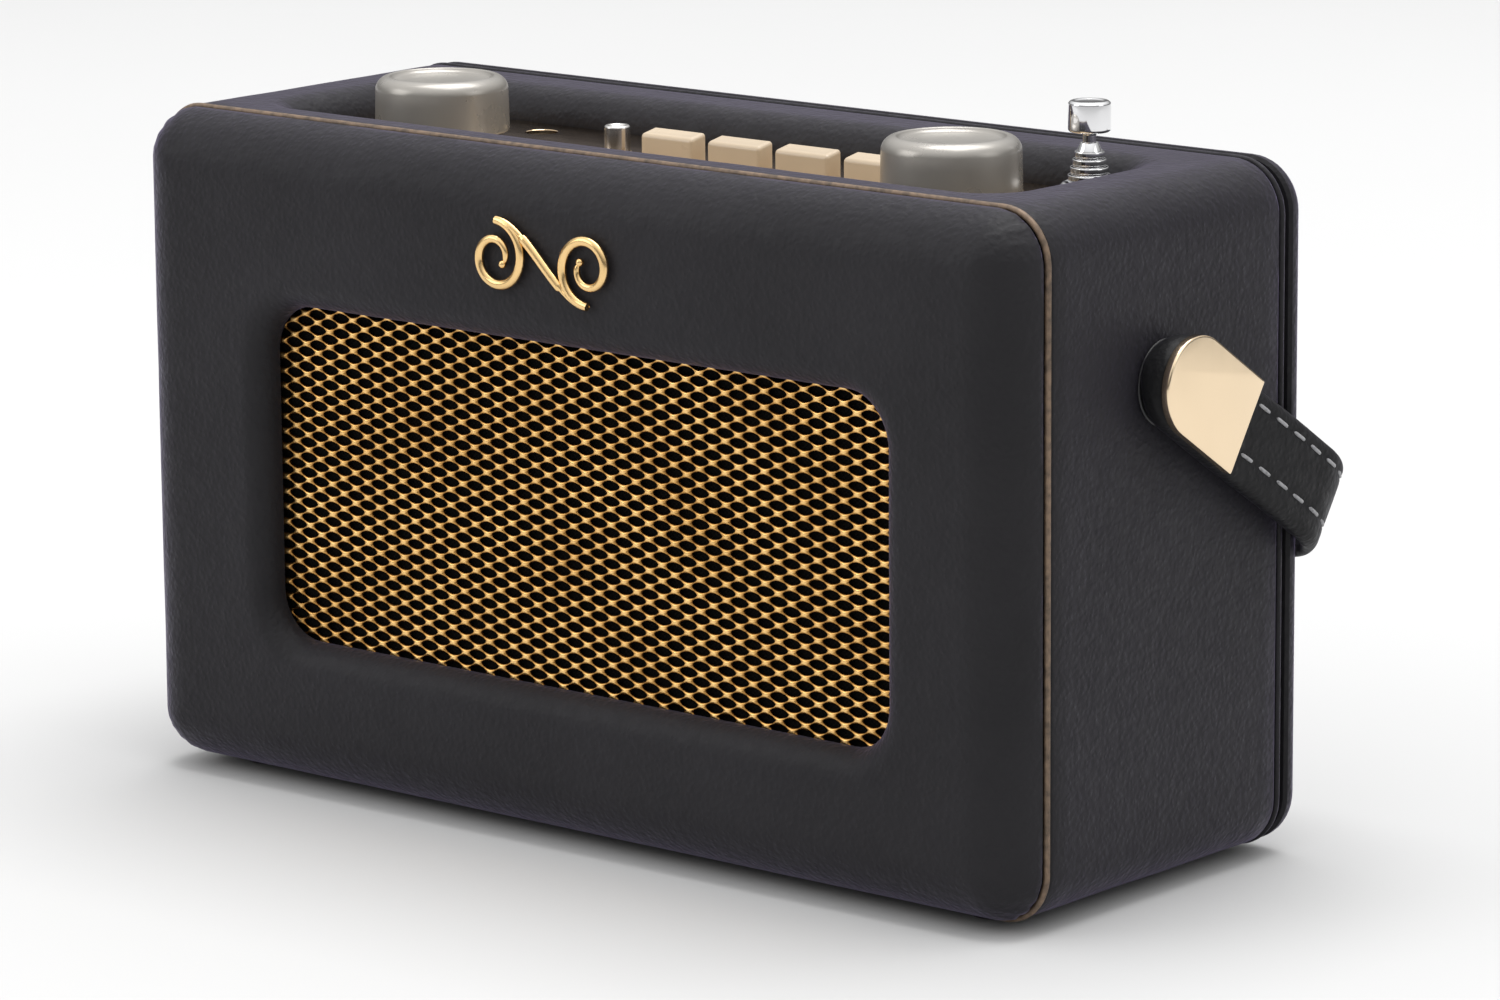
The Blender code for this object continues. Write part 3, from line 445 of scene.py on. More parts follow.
def piece(name, bm, body, slot, replaces=(), angle=40, frame_of=None, finish=None):
    """Places a mesh made in millimetres, on a body, in place of the CAD nodes it stands for."""
    bmesh.ops.recalc_face_normals(bm, faces=bm.faces)
    mesh = bpy.data.meshes.new(name)
    bm.to_mesh(mesh)
    bm.free()
    if frame_of is not None:
        mesh.transform(frame_of)
    mesh.transform(Matrix.Translation(CASE) @ Matrix.Scale(MM, 4))
    mesh.materials.append(finish or FINISHES[slot])
    mesh.shade_smooth()
    mesh.set_sharp_from_angle(angle=math.radians(angle))
    made = placed(name, mesh)
    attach(made, body)
    if replaces:
        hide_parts(*replaces)
    return made


def turned(name, profile, softening, sides, at, body, slot, nodes, turn=None, angle=40):
    """Places a turned piece. softening is the radius of its soft corners, and their steps."""
    bm = bmesh.new()
    lathe(bm, softened(profile, *softening), sides, at, turn)
    return piece(name, bm, body, slot, nodes, angle)


def cutting(bm, at=(0, 0, 0)):
    """A helper mesh for a Boolean, removed once it is used."""
    bmesh.ops.recalc_face_normals(bm, faces=bm.faces)
    mesh = bpy.data.meshes.new("cutter")
    bm.to_mesh(mesh)
    bm.free()
    mesh.transform(Matrix.Translation(CASE) @ Matrix.Scale(MM, 4) @ Matrix.Translation(at))
    return placed("cutter", mesh)


def cut(target, tools):
    for tool in tools:
        boolean = target.modifiers.new("cut", "BOOLEAN")
        boolean.object = tool
        boolean.solver = "EXACT"
    bpy.context.view_layer.update()
    graph = bpy.context.evaluated_depsgraph_get()
    mesh = bpy.data.meshes.new_from_object(target.evaluated_get(graph))
    target.modifiers.clear()
    target.data = mesh
    for tool in tools:
        bpy.data.objects.remove(tool, do_unlink=True)


def capped(bm, rings):
    """A solid from rings, closed at both ends."""
    made = skin(bm, rings)
    bm.faces.new(made[0])
    bm.faces.new(made[-1])
    return bm


def smooth(made, angle):
    made.data.shade_smooth()
    made.data.set_sharp_from_angle(angle=math.radians(angle))


def prism(half, radius, low, high, steps=6, edge=0.0):
    """An upright rounded block, its top edge rounded."""
    bm = bmesh.new()
    rings = [[(x, y, low) for x, y in outline(half, radius, steps)]]
    levels = arc((edge, high - edge), edge, 180, 90, 4) if edge else [(0, high)]
    for inset, z in levels:
        shrunk = (half[0] - inset, half[1] - inset)
        rings.append([(x, y, z) for x, y in outline(shrunk, max(radius - inset, 0.05), steps)])
    return capped(bm, rings)


# ---------------- leathercloth covers

ALONG = (44, 26)
SOFT = 0.10  # how far the cloth strays from its padding
PLEAT = 0.5  # depth of the folds at the front's corners


def stray(point):
    """A slight unevenness of the padding, the same wherever two covers meet."""
    return SOFT * noise.noise(Vector(point) / 16) + 0.35 * SOFT * noise.noise(Vector(point) / 5)


def case_ring(inset, y):
    half = (WIDTH / 2 - inset, HEIGHT / 2 - inset)
    points = outline(half, max(CORNER - inset, 1.2), 12, ALONG)
    return [Vector((x, y, HEIGHT / 2 + z)) for x, z in points]


def window_ring(outset, y):
    half = (WINDOW_HALF[0] + outset, WINDOW_HALF[1] + outset)
    points = outline(half, WINDOW_CORNER + outset, 12, ALONG)
    return [Vector((WINDOW_CENTRE[0] + x, y, WINDOW_CENTRE[1] + z)) for x, z in points]


def pleat(point):
    """The cloth gathers in small folds where it turns each corner on its way to the seam."""
    corner = Vector((WIDTH / 2 - CORNER, HEIGHT / 2 - CORNER))
    off = Vector((abs(point.x), abs(point.z - HEIGHT / 2))) - corner
    if min(off) < -1 or off.length < 0.1:
        return
    turn = math.atan2(off.y, off.x)
    spread = max(0.0, math.sin(2 * clamp(turn, 0.0, math.pi / 2)))
    near = clamp((point.y - FRONT_Y - 1.5) / 5, 0.0, 1.0)
    fold = PLEAT * spread * near * (0.5 + 0.5 * math.sin(17 * turn + 3 * math.sin(point.y / 3)))
    outward = Vector((
        math.copysign(off.x, point.x),
        0,
        math.copysign(off.y, point.z - HEIGHT / 2),
    ))
    point -= outward.normalized() * fold


def front_cover():
    seam = front_high.y - 0.6
    tuck = math.asin(max(0.0, 1 - (seam - FRONT_Y) / FRONT_ROUND))
    pinch = FRONT_ROUND * (1 - math.cos(tuck))
    rings = [case_ring(2.2, front_high.y - 0.1), case_ring(pinch + 0.5, front_high.y - 0.1)]
    centre = (FRONT_ROUND, FRONT_Y + FRONT_ROUND)
    for inset, y in arc(centre, FRONT_ROUND, 180 + math.degrees(tuck), 270, 15):
        rings.append(case_ring(inset, y))
    outer = rings[-1]
    inner = window_ring(WINDOW_ROLL, FRONT_Y)
    for step in range(1, 12):
        t = step / 12
        rings.append([a.lerp(b, t) for a, b in zip(outer, inner)])
    for outset, y in arc((WINDOW_ROLL, FRONT_Y + WINDOW_ROLL), WINDOW_ROLL, 270, 180, 12):
        rings.append(window_ring(outset, y))
    rings.append(window_ring(0.0, FRONT_Y + WINDOW_ROLL + 0.3))
    rings.append(window_ring(1.5, FRONT_Y + WINDOW_ROLL + 0.35))
    for ring in rings[2:-2]:
        for point in ring:
            point.y += stray(point)
    for ring in rings[2:18]:
        for point in ring:
            pleat(point)
    bm = bmesh.new()
    skin(bm, rings)
    piece("padded_front_cover", bm, "cabinet", "leathercloth", ["front_cover"], 60)


def well_ring(grow, z):
    half = (WELL_HALF[0] + grow, WELL_HALF[1] + grow)
    points = outline(half, max(WELL_CORNER + grow, 0.02), 12, (60, 18))
    return [Vector((x, y, z)) for x, y in points]


def core(x, z):
    """The middle from which the case's outline is struck, beside a point on it."""
    half = WIDTH / 2 - CORNER
    return Vector((clamp(x, -half, half), clamp(z, CORNER, HEIGHT - CORNER)))


def sleeve():
    """The wrap round top, sides and underside, and its rolled edge down into the well."""
    low, high = sleeve_low.y, sleeve_high.y
    turn_in = 0.7  # the cloth's edge, turned in along both seams
    flat = WIDTH / 2 - CORNER - 4.0
    around = [(flat, HEIGHT), (flat + 2, HEIGHT)]
    side, top = WIDTH / 2 - CORNER, HEIGHT - CORNER
    arcs = [(side, top, 90, 0), (side, CORNER, 0, -90)]
    arcs += [(-side, CORNER, 270, 180), (-side, top, 180, 90)]
    for x, z, start, end in arcs:
        corner = arc((x, z), CORNER, start, end, 12)
        last = Vector(around[-1])
        pieces = max(1, int((Vector(corner[0]) - last).length / 4))
        around += [tuple(last.lerp(Vector(corner[0]), i / pieces)) for i in range(1, pieces)]
        around += corner
    around += [(-flat - 2, HEIGHT), (-flat, HEIGHT)]

    def strip(inset, y):
        ring = []
        for x, z in around:
            centre = core(x, z)
            out = Vector((x, z)) - centre
            scale = (out.length - inset) / out.length if out.length > 1e-6 else 1
            spot = centre + out * scale
            ring.append(Vector((spot.x, y, spot.y)))
        return ring

    rows = [strip(2.0, low + 0.05), strip(turn_in, low)]
    rows += [strip(i, low + y) for i, y in ((0.2, 0.2), (0.0, 0.7))]
    stations = 16
    for step in range(1, stations):
        rows.append(strip(0.0, low + 0.7 + (high - low - 1.4) * step / stations))
    rows += [strip(i, high - y) for i, y in ((0.0, 0.7), (0.2, 0.2), (turn_in, 0.0), (2.0, 0.05))]
    for row in rows[3:-3]:
        for point in row:
            away = stray(point) * (0 if abs(point.x) < flat + 3 and point.z > HEIGHT / 2 else 1)
            x, z = core(point.x, point.z)
            point += (point - Vector((x, point.y, z))).normalized() * away
    bm = bmesh.new()
    skin(bm, rows, cyclic=False)

    rim = outline((flat, (high - low) / 2), 0.02, 12, (60, 18))
    edge = [Vector((x, y + (high + low) / 2, HEIGHT)) for x, y in rim]
    turns = [math.radians(90 - 7.5 * i) for i in range(13)]
    sunk = [HEIGHT - WELL_ROLL * (1 - math.sin(a)) for a in turns]
    rolled = [(WELL_ROLL * (1 - math.cos(a)), z) for a, z in zip(turns, sunk)]
    lip = well_ring(*rolled[0])
    rings = []
    for inset, drop in ((0.0, 0.7), (0.2, 0.2), (0.7, 0.0)):
        inside = [clamp(p.y, low + inset, high - inset) for p in edge]
        rings.append([Vector((p.x, y, HEIGHT - drop)) for p, y in zip(edge, inside)])
    bed = rings[-1]
    for step in range(1, 5):
        rings.append([a.lerp(b, step / 5) for a, b in zip(bed, lip)])
    rings += [well_ring(grow, z) for grow, z in rolled]
    rings.append(well_ring(0.0, PANEL_TOP - 1.0))
    for ring in rings[3:-2]:
        for point in ring:
            point.z += 0.6 * stray(point)
    skin(bm, rings)
    piece("leathercloth_sleeve", bm, "cabinet", "leathercloth", ["cabinet_cover"], 50)


def back_face():
    """The back cover, with openings for the battery door, the sockets and the screws."""
    edges = ((2.0, 0.0), (0.6, 0.0), (0.0, 0.5))
    rings = [case_ring(inset, back_low.y + y) for inset, y in edges]
    for inset, y in arc((BACK_ROUND, BACK_Y - BACK_ROUND), BACK_ROUND, 180, 90, 10):
        rings.append(case_ring(inset, y))
    bm = bmesh.new()
    for shell in (rings, [rings[0], case_ring(2.0, BACK_Y - 2.0)]):
        made = skin(bm, shell)
        bm.faces.new(made[-1])
    bmesh.ops.remove_doubles(bm, verts=bm.verts, dist=1e-4)
    cover = piece("leathercloth_back", bm, "cabinet", "leathercloth", ["back_cover"], 35)
    low, high = span("battery_door")
    half = ((high.x - low.x) / 2 + 0.4, (high.z - low.z) / 2 + 0.3)
    centre = ((low.x + high.x) / 2, (low.z + high.z) / 2)
    tools = [bored([(centre[0] + x, centre[1] + z) for x, z in outline(half, 0.5, 6)])]
    for node in ("dc_socket", "aux_socket"):
        low, high, middle = measured(node)
        tools.append(bored(arc((middle.x, middle.z), (high.x - low.x) / 2 - 0.9, *ROUND)))
    for number in range(1, 5):
        middle = measured(f"back_screw_{number}")[2]
        tools.append(bored(arc((middle.x, middle.z), 1.9, *ROUND)))
    cut(cover, tools)
    smooth(cover, 35)


def bored(shape):
    """A tool that opens a shape in the back cover."""
    reach = (back_low.y - 3, BACK_Y + 3)
    return cutting(capped(bmesh.new(), [[(x, y, z) for x, z in shape] for y in reach]))


# ---------------- piping


def piping():
    for name, node, slot in (
        ("gold_welt", "piping_front", "gold_piping"),
        ("rear_welt", "piping_rear", "leathercloth"),
    ):
        low, high = span(node)
        radius = (high.y - low.y) / 2
        y = (high.y + low.y) / 2
        inset = high.x - radius
        half = (inset, (high.z - low.z) / 2 - radius)
        path = outline(half, CORNER - (WIDTH / 2 - inset), 14, (90, 50))
        rings = []
        for i, (x, z) in enumerate(path):
            before, after = Vector(path[i - 1]), Vector(path[(i + 1) % len(path)])
            along = (after - before).normalized()
            out = Vector((along.y, -along.x))
            ring = []
            for side in range(12):
                a = TAU * side / 12
                r = radius * (0.98 + 0.02 * math.sin(3 * a + i * 1.9))
                cos, rise = math.cos(a), r * math.sin(a)
                ring.append((x + out.x * r * cos, y + rise, HEIGHT / 2 + z + out.y * r * cos))
            rings.append(ring)
        bm = bmesh.new()
        skin(bm, rings, close=True)
        piece(name, bm, "cabinet", slot, [node], 80)


# ---------------- grille and badge


def grille():
    """Expanded metal: diamond cells round oval holes, their strands sunk between raised nodes."""
    low, high = span("grille")
    pitch_x, pitch_z = 5.85, 2.8
    hole = (1.95, 0.78)
    thick = high.y - low.y
    ways = 16
    bm = bmesh.new()
    corners = [(pitch_x / 2, 0), (0, pitch_z / 2), (-pitch_x / 2, 0), (0, -pitch_z / 2)]

    def lens(k, scale):
        a = TAU * k / ways
        return Vector((math.cos(a) * hole[0] * scale, math.sin(a) * hole[1] * scale))

    # A cell's rings, inwards: each has a share of the way to the hole, how deep it lies in the
    # thickness, and how much deeper between the nodes.
    levels = ((0.0, 0.0, 0.22), (0.5, 0.04, 0.24), (0.85, 0.22, 0.12), (1.0, 0.55, 0.0))
    cell = [[] for _ in levels]
    for k in range(ways):
        here, t = divmod(k, ways // 4)
        a, b = Vector(corners[here]), Vector(corners[(here + 1) % 4])
        rim, sunk = a.lerp(b, t / (ways // 4)), 1 - abs(1 - 2 * t / (ways // 4))
        for ring, (share, depth, more) in zip(cell, levels):
            ring.append((rim.lerp(lens(k, 1.0), share), depth + more * sunk))
    cell.append([(lens(k, 1.03), 1.0) for k in range(ways)])
    rows = int((high.z - low.z) / (pitch_z / 2)) - 1
    columns = int((high.x - low.x) / pitch_x)
    middle = ((low.x + high.x) / 2, (low.z + high.z) / 2)
    for row in range(rows):
        z = middle[1] + (row - (rows - 1) / 2) * pitch_z / 2
        shift = pitch_x / 2 * (row % 2)
        for column in range(columns):
            x = middle[0] + (column - (columns - 1) / 2) * pitch_x + shift - pitch_x / 4
            bend = 0.05 * noise.noise(Vector((x / 20, 3, z / 20)))
            rings = []
            for level in cell:
                ys = [low.y + thick * (RAISED + (1 - RAISED) * d) + bend for _, d in level]
                rings.append([(x + s.x, y, z + s.y) for (s, _), y in zip(level, ys)])
            skin(bm, rings)
    bmesh.ops.remove_doubles(bm, verts=bm.verts, dist=0.02)
    piece("expanded_metal_grille", bm, "cabinet", "gold_grille", ["grille"], 75)


def badge():
    """A calligraphic scroll: a wave between two volutes, thick on its long strokes."""
    low, high, centre = measured("badge")
    thick = high.y - low.y
    eye, turns = 1.9, 1.35
    volute = (high.z - low.z - thick) / 2
    reach = (high.x - low.x) / 2 - thick / 2 - volute
    points = []
    steps = 60
    for i in range(steps + 1):
        t = i / steps
        angle = math.pi / 2 - (1 - t) * turns * TAU
        radius = eye + (volute - eye) * t
        points.append((-reach + radius * math.cos(angle), radius * math.sin(angle)))
    for i in range(1, 31):
        t = i / 30
        points.append((-reach * (1 - t), volute * math.cos(math.pi * t / 2)))
    points += [(-x, -z) for x, z in reversed(points[:-1])]
    rings = []
    total = len(points) - 1
    for i, (x, z) in enumerate(points):
        before, after = Vector(points[max(i - 1, 0)]), Vector(points[min(i + 1, total)])
        along = (after - before).normalized()
        out = Vector((-along.y, along.x))
        end = min(i, total - i) / total
        swell = 0.55 + 0.45 * math.sin(math.pi * min(1, end * 2.3)) if end < 0.43 else 1.0
        swell *= min(1.0, 0.35 + end * 26)
        ring = []
        for side in range(12):
            a = TAU * side / 12
            across = thick * 0.62 * swell * math.cos(a)
            rise = thick * 0.5 * min(1, swell * 1.1) * math.sin(a)
            across_x, across_z = out.x * across, out.y * across
            ring.append((centre.x + x + across_x, centre.y + rise, centre.z + z + across_z))
        rings.append(ring)
    bm = capped(bmesh.new(), rings)
    for side in (-1, 1):
        ball = bmesh.ops.create_uvsphere(bm, u_segments=20, v_segments=12, radius=thick * 0.5)
        x, z = points[0] if side == -1 else points[-1]
        bmesh.ops.translate(bm, verts=ball["verts"], vec=centre + Vector((x, 0, z)))
    piece("scroll_badge", bm, "cabinet", "badge_brass", ["badge"], 60)


# ---------------- controls


def control_panel():
    half = ((panel_high.x - panel_low.x) / 2, (panel_high.y - panel_low.y) / 2)
    bm = prism(half, WELL_CORNER - 0.3, panel_low.z, PANEL_TOP, 8, 0.3)
    plate = piece("brass_control_panel", bm, "cabinet", "panel_brass", ["control_panel"], 30)
    tools = []
    holes = [("tuning_shaft", 4.2), ("volume_shaft", 4.2), ("standby_button", 2.55)]
    holes += [("headphone_jack", 3.0), ("aerial_tip", 5.3)]
    for node, radius in holes:
        spot = measured(node)[2]
        circle = arc((spot.x, spot.y), radius, *ROUND)
        wide = arc((spot.x, spot.y), radius + 0.12, *ROUND)
        levels = [(circle, panel_low.z - 1), (circle, PANEL_TOP - 0.12)]
        levels += [(wide, PANEL_TOP + 0.001), (wide, PANEL_TOP + 1)]
        rings = [[(x, y, z) for x, y in shape] for shape, z in levels]
        tools.append(cutting(capped(bmesh.new(), rings)))
    for number in range(1, 5):
        low, high, spot = measured(f"preset_button_{number}")
        slot_half = ((high.x - low.x) / 2 + 0.25, (high.y - low.y) / 2 + 0.25)
        slot = prism(slot_half, 0.9, panel_low.z - 1, PANEL_TOP + 1, 5)
        tools.append(cutting(slot, (spot.x, spot.y, 0)))
    cut(plate, tools)
    smooth(plate, 30)


def knobs():
    for name in ("tuning_knob", "volume_knob"):
        low, high, centre = measured(name)
        outer = (high.x - low.x) / 2
        base, top = low.z, high.z
        edge, dish = 2.6, 0.9
        lip = outer - edge - 0.12
        profile = [(0, top - dish - 0.12), (4, top - dish - 0.08), (lip - 1.6, top - dish)]
        profile += [(lip - 0.7, top - dish + 0.15), (lip - 0.3, top - 0.4), (lip - 0.1, top - 0.1)]
        profile += arc((lip, top - edge), edge, 88, 6, 12)
        profile += [(outer, base + 1.6), (outer, base + 0.35)]
        profile += [(outer - 0.12, base + 0.1), (outer - 0.4, base), (outer - 1.5, base)]
        profile += [(outer - 1.75, base + 0.4), (outer - 1.9, top - 3.4), (4.4, top - 3.6)]
        profile += [(4.4, base + 2.2), (3.15, base + 2.2), (3.15, top - 2.3), (0, top - 2.3)]
        at = (centre.x, centre.y, 0)
        turned(f"{name}_moulding", profile, (0.12, 2), 96, at, name, "knob_plastic", [name])


def keys():
    for number in range(1, 5):
        name = f"preset_button_{number}"
        low, high, centre = measured(name)
        half = ((high.x - low.x) / 2, (high.y - low.y) / 2)
        rise, edge, foot = 0.8, 0.75, PANEL_TOP - 5
        rings = [[(x, y, foot) for x, y in outline(half, 0.7, 6, (12, 6))]]
        rings.append([(x, y, PANEL_TOP) for x, y in outline(half, 0.7, 6, (12, 6))])
        levels = arc((edge, -edge), edge, 180, 90, 6)
        levels += [(edge + 0.3, 0.0), (half[1] * 0.7, -0.04), (half[1] * 0.97, -0.06)]
        for inset, drop in levels:
            shrunk = (half[0] - inset, half[1] - inset)
            ring = []
            for x, y in outline(shrunk, max(0.7 - inset, 0.05), 6, (12, 6)):
                tilt = high.z - rise * (half[1] - y) / (2 * half[1])
                ring.append((x, y, tilt + drop))
            rings.append(ring)
        rings = [[(centre.x + x, centre.y + y, z) for x, y, z in ring] for ring in rings]
        bm = capped(bmesh.new(), rings)
        bmesh.ops.remove_doubles(bm, verts=bm.verts, dist=0.001)
        piece(f"{name}_cap", bm, name, "ivory_plastic", [name], 50)


def standby():
    low, high, centre = measured("standby_button")
    r, top = (high.x - low.x) / 2, high.z
    profile = [(0, top - 0.35), (r - 1.0, top - 0.35), (r - 0.75, top - 0.05), (r - 0.3, top)]
    profile += [(r, top - 0.3), (r, PANEL_TOP - 3), (0, PANEL_TOP - 3)]
    body, at = "standby_button", (centre.x, centre.y, 0)
    turned("standby_button_cap", profile, (0.15, 3), 64, at, body, "button_chrome", [body])


def jack():
    """A black bush with a bright contact ring sunk in its mouth."""
    node = "headphone_jack"
    low, high, centre = measured(node)
    at, soft, top = (centre.x, centre.y, 0), (0.1, 2), high.z
    bush = [(2.0, top - 9), (2.0, top - 1.2), (2.35, top - 0.1), (2.6, top - 0.3)]
    bush += [(2.6, top - 4), (4.2, top - 4), (4.2, top - 9)]
    turned("headphone_jack_bush", bush, soft, 64, at, "cabinet", "black_plastic", [node])
    ring = [(1.3, top - 8), (1.3, top - 1.6), (1.5, top - 1.3), (1.95, top - 1.3), (1.95, top - 8)]
    turned("headphone_jack_contact", ring, soft, 48, at, "cabinet", "steel", [])


# ---------------- aerial


def aerial():
    low, high = span("aerial_bush")
    spot = ((low.x + high.x) / 2, (low.y + high.y) / 2, 0)
    flange, top = (high.x - low.x) / 2, high.z
    foot = PANEL_TOP + 0.3
    profile = [(4.0, low.z), (4.0, top), (4.6, top), (flange, top - 0.7), (flange, foot)]
    profile += [(5.0, foot), (5.0, low.z), (4.0, low.z)]
    turned("aerial_collar", profile, (0.3, 4), 64, spot, "cabinet", "chrome", ["aerial_bush"])
    for number in range(5):
        body = f"aerial_section_{number}" if number else "aerial_tube"
        low, high = span(body)
        r, top, base = (high.x - low.x) / 2, high.z, low.z
        inner = r - 0.25
        if number < 4:
            profile = [(inner, base), (inner, top), (r - 0.08, top), (r, top - 0.2)]
            profile += [(r, top - 0.85), (r - 0.1, top - 1.0), (r - 0.1, base), (inner, base)]
        else:
            profile = [(inner, base), (inner, top - 2.0), (1.32, top - 0.7), (1.32, top)]
            profile += [(1.5, top), (r - 0.05, top - 1.5), (r, top - 1.8), (r, top - 2.2)]
            profile += [(r - 0.05, base), (inner, base)]
        name = body + ("_drawn" if number else "_outer")
        turned(name, profile, (0.14, 3), 48, spot, body, "chrome", [body], angle=50)
    low, high = span("aerial_tip")
    r, top, base = (high.x - low.x) / 2, high.z, low.z
    cap = top - 5.4
    profile = [(0, top - 0.25), (r - 1.4, top - 0.2), (r - 1.0, top - 0.02), (r - 0.45, top)]
    profile += [(r, top - 0.4), (r, cap + 0.35), (r - 0.3, cap), (1.7, cap), (1.2, cap - 0.4)]
    profile += [(1.2, base + 4), (1.75, base + 4), (1.75, base), (0, base)]
    turned("aerial_cap", profile, (0.2, 3), 64, spot, "aerial_tip", "chrome", ["aerial_tip"])


# ---------------- handle

PIVOT_Z = 88.8
HANDLE_ANGLE = math.radians(33.2)
HANDLE = Matrix.Translation((0, 0, PIVOT_Z)) @ Matrix.Rotation(-HANDLE_ANGLE, 4, "X")
STRAP_HALF = 8.5
ARM_THICK = 4.9
GRIP_THICK = 2.4
STRAP_ROUND = 2.2  # rounding of the strap's padded edges
STRAP_REACH = 58.4
STRAP_X = 108.4
STRAP_FLARE = 0.9
BEND = 15.0
STITCHES = (5.6, -3.7)
STITCH_SINK = 0.28
PLATE_LENGTH = 16.8


def strap_route():
    """Stations along the strap's outer face, from end to end.

    Each has its (x, reach), the outward direction, the strap's half width and its thickness.
    """
    half_route = []
    for angle in range(84, 0, -7):
        turn = math.radians(angle)
        spot = Vector((STRAP_X, -STRAP_HALF * math.sin(turn)))
        half_route.append((spot, Vector((1, 0)), STRAP_HALF * math.cos(turn), ARM_THICK))
    bend = Vector((STRAP_X + STRAP_FLARE - BEND, STRAP_REACH - BEND))
    steps = 34
    for i in range(steps + 1):
        reach = bend.y * i / steps
        t = clamp((reach - 14) / 22, 0, 1)
        flare = STRAP_FLARE * t * t * (3 - 2 * t)
        half_route.append((Vector((STRAP_X + flare, reach)), Vector((1, 0)), STRAP_HALF, ARM_THICK))
    for i in range(1, 25):
        t = i / 24
        way = Vector((math.cos(math.pi / 2 * t), math.sin(math.pi / 2 * t)))
        thick = ARM_THICK + (GRIP_THICK - ARM_THICK) * min(1, 1.75 * t)
        half_route.append((bend + way * BEND, way, STRAP_HALF, thick))
    across = 40
    for i in range(1, across + 1):
        spot = Vector((bend.x * (1 - i / across), STRAP_REACH))
        half_route.append((spot, Vector((0, 1)), STRAP_HALF, GRIP_THICK))
    other = [(Vector((-p.x, p.y)), Vector((-w.x, w.y)), h, t) for p, w, h, t in half_route[:-1]]
    return half_route + list(reversed(other))


def padding(w, half, thick):
    """Half the strap's thickness at a place across its width: full, pinched at its stitches."""
    edge = max(0.0, abs(w) - (half - STRAP_ROUND)) / STRAP_ROUND
    level = thick / 2 * math.sqrt(max(0.0, 1 - (0.985 * edge) ** 2))
    if half == STRAP_HALF:
        for stitch in STITCHES:
            level -= STITCH_SINK * math.exp(-(((w - stitch) / 0.55) ** 2))
    return max(level, 0.08)


def strap():
    lanes = [-1, -0.985, -0.95, -0.9, -0.84, -0.76, -0.66, -0.57]
    lanes += [-0.52, -0.48, -0.435, -0.39, -0.35, -0.3, -0.2, -0.08, 0.05, 0.18, 0.3, 0.42, 0.52]
    lanes += [0.58, 0.62, 0.66, 0.7, 0.74, 0.8, 0.86, 0.91, 0.955, 0.985, 1]
    rings = []
    for face, way, half, thick in strap_route():
        spot = face - way * thick / 2
        outer = []
        for lane in lanes:
            w = lane * half
            creep = noise.noise(Vector((spot.x / 9, spot.y / 9, w / 6)))
            outer.append((w, min(padding(w, half, thick) + 0.06 * creep, thick / 2)))
        shape = outer + [(w, -r) for w, r in reversed(outer)]
        rings.append([(spot.x + way.x * r, spot.y + way.y * r, w) for w, r in shape])
    bm = capped(bmesh.new(), rings)
    piece("padded_strap", bm, "handle", "strap_leather", ["handle_strap"], 70, HANDLE)


def stitching():
    """Waxed thread in even dashes along both edges, on both faces of the strap."""
    route = [s for s in strap_route() if s[2] == STRAP_HALF and s[0].y > -0.01]
    lengths = [0.0]
    for a, b in zip(route, route[1:]):
        lengths.append(lengths[-1] + (b[0] - a[0]).length)

    def at(distance):
        """The strap's face, outward direction and thickness at a distance along it."""
        for i in range(len(route) - 1):
            if lengths[i + 1] >= distance:
                here, there = route[i], route[i + 1]
                t = (distance - lengths[i]) / (lengths[i + 1] - lengths[i])
                way = here[1].lerp(there[1], t).normalized()
                return here[0].lerp(there[0], t), way, here[3] + (there[3] - here[3]) * t
        return route[-1][0], route[-1][1], route[-1][3]

    pitch, dash, thread = 5.7, 4.0, 0.27
    lifted = 0.1  # how far the thread's middle stands over the bottom of its pinch
    bm = bmesh.new()
    for face in (1, -1):
        for stitch in STITCHES:
            count = int((lengths[-1] - 2 * PLATE_LENGTH - 2) / pitch)
            first = lengths[-1] / 2 - (count - 1) * pitch / 2
            for number in range(count):
                start = first + number * pitch - dash / 2
                slant = random.uniform(-0.12, 0.12)
                rings = []
                for i in range(9):
                    t = i / 8
                    spot, way, thick = at(start + dash * t)
                    ends = min(1.0, 0.25 + 5 * min(t, 1 - t))
                    depth = STITCH_SINK - lifted + 0.5 * (1 - ends)
                    middle = spot - way * (depth if face == 1 else thick - depth)
                    ring = []
                    for side in range(8):
                        a = TAU * side / 8
                        rise = thread * ends * math.cos(a) * face
                        w = stitch + slant * (t - 0.5) + thread * 1.25 * ends * math.sin(a)
                        ring.append((middle.x + way.x * rise, middle.y + way.y * rise, w))
                    rings.append(ring)
                capped(bm, rings)
    piece("strap_stitching", bm, "handle", "strap_leather", [], 70, HANDLE, THREAD)


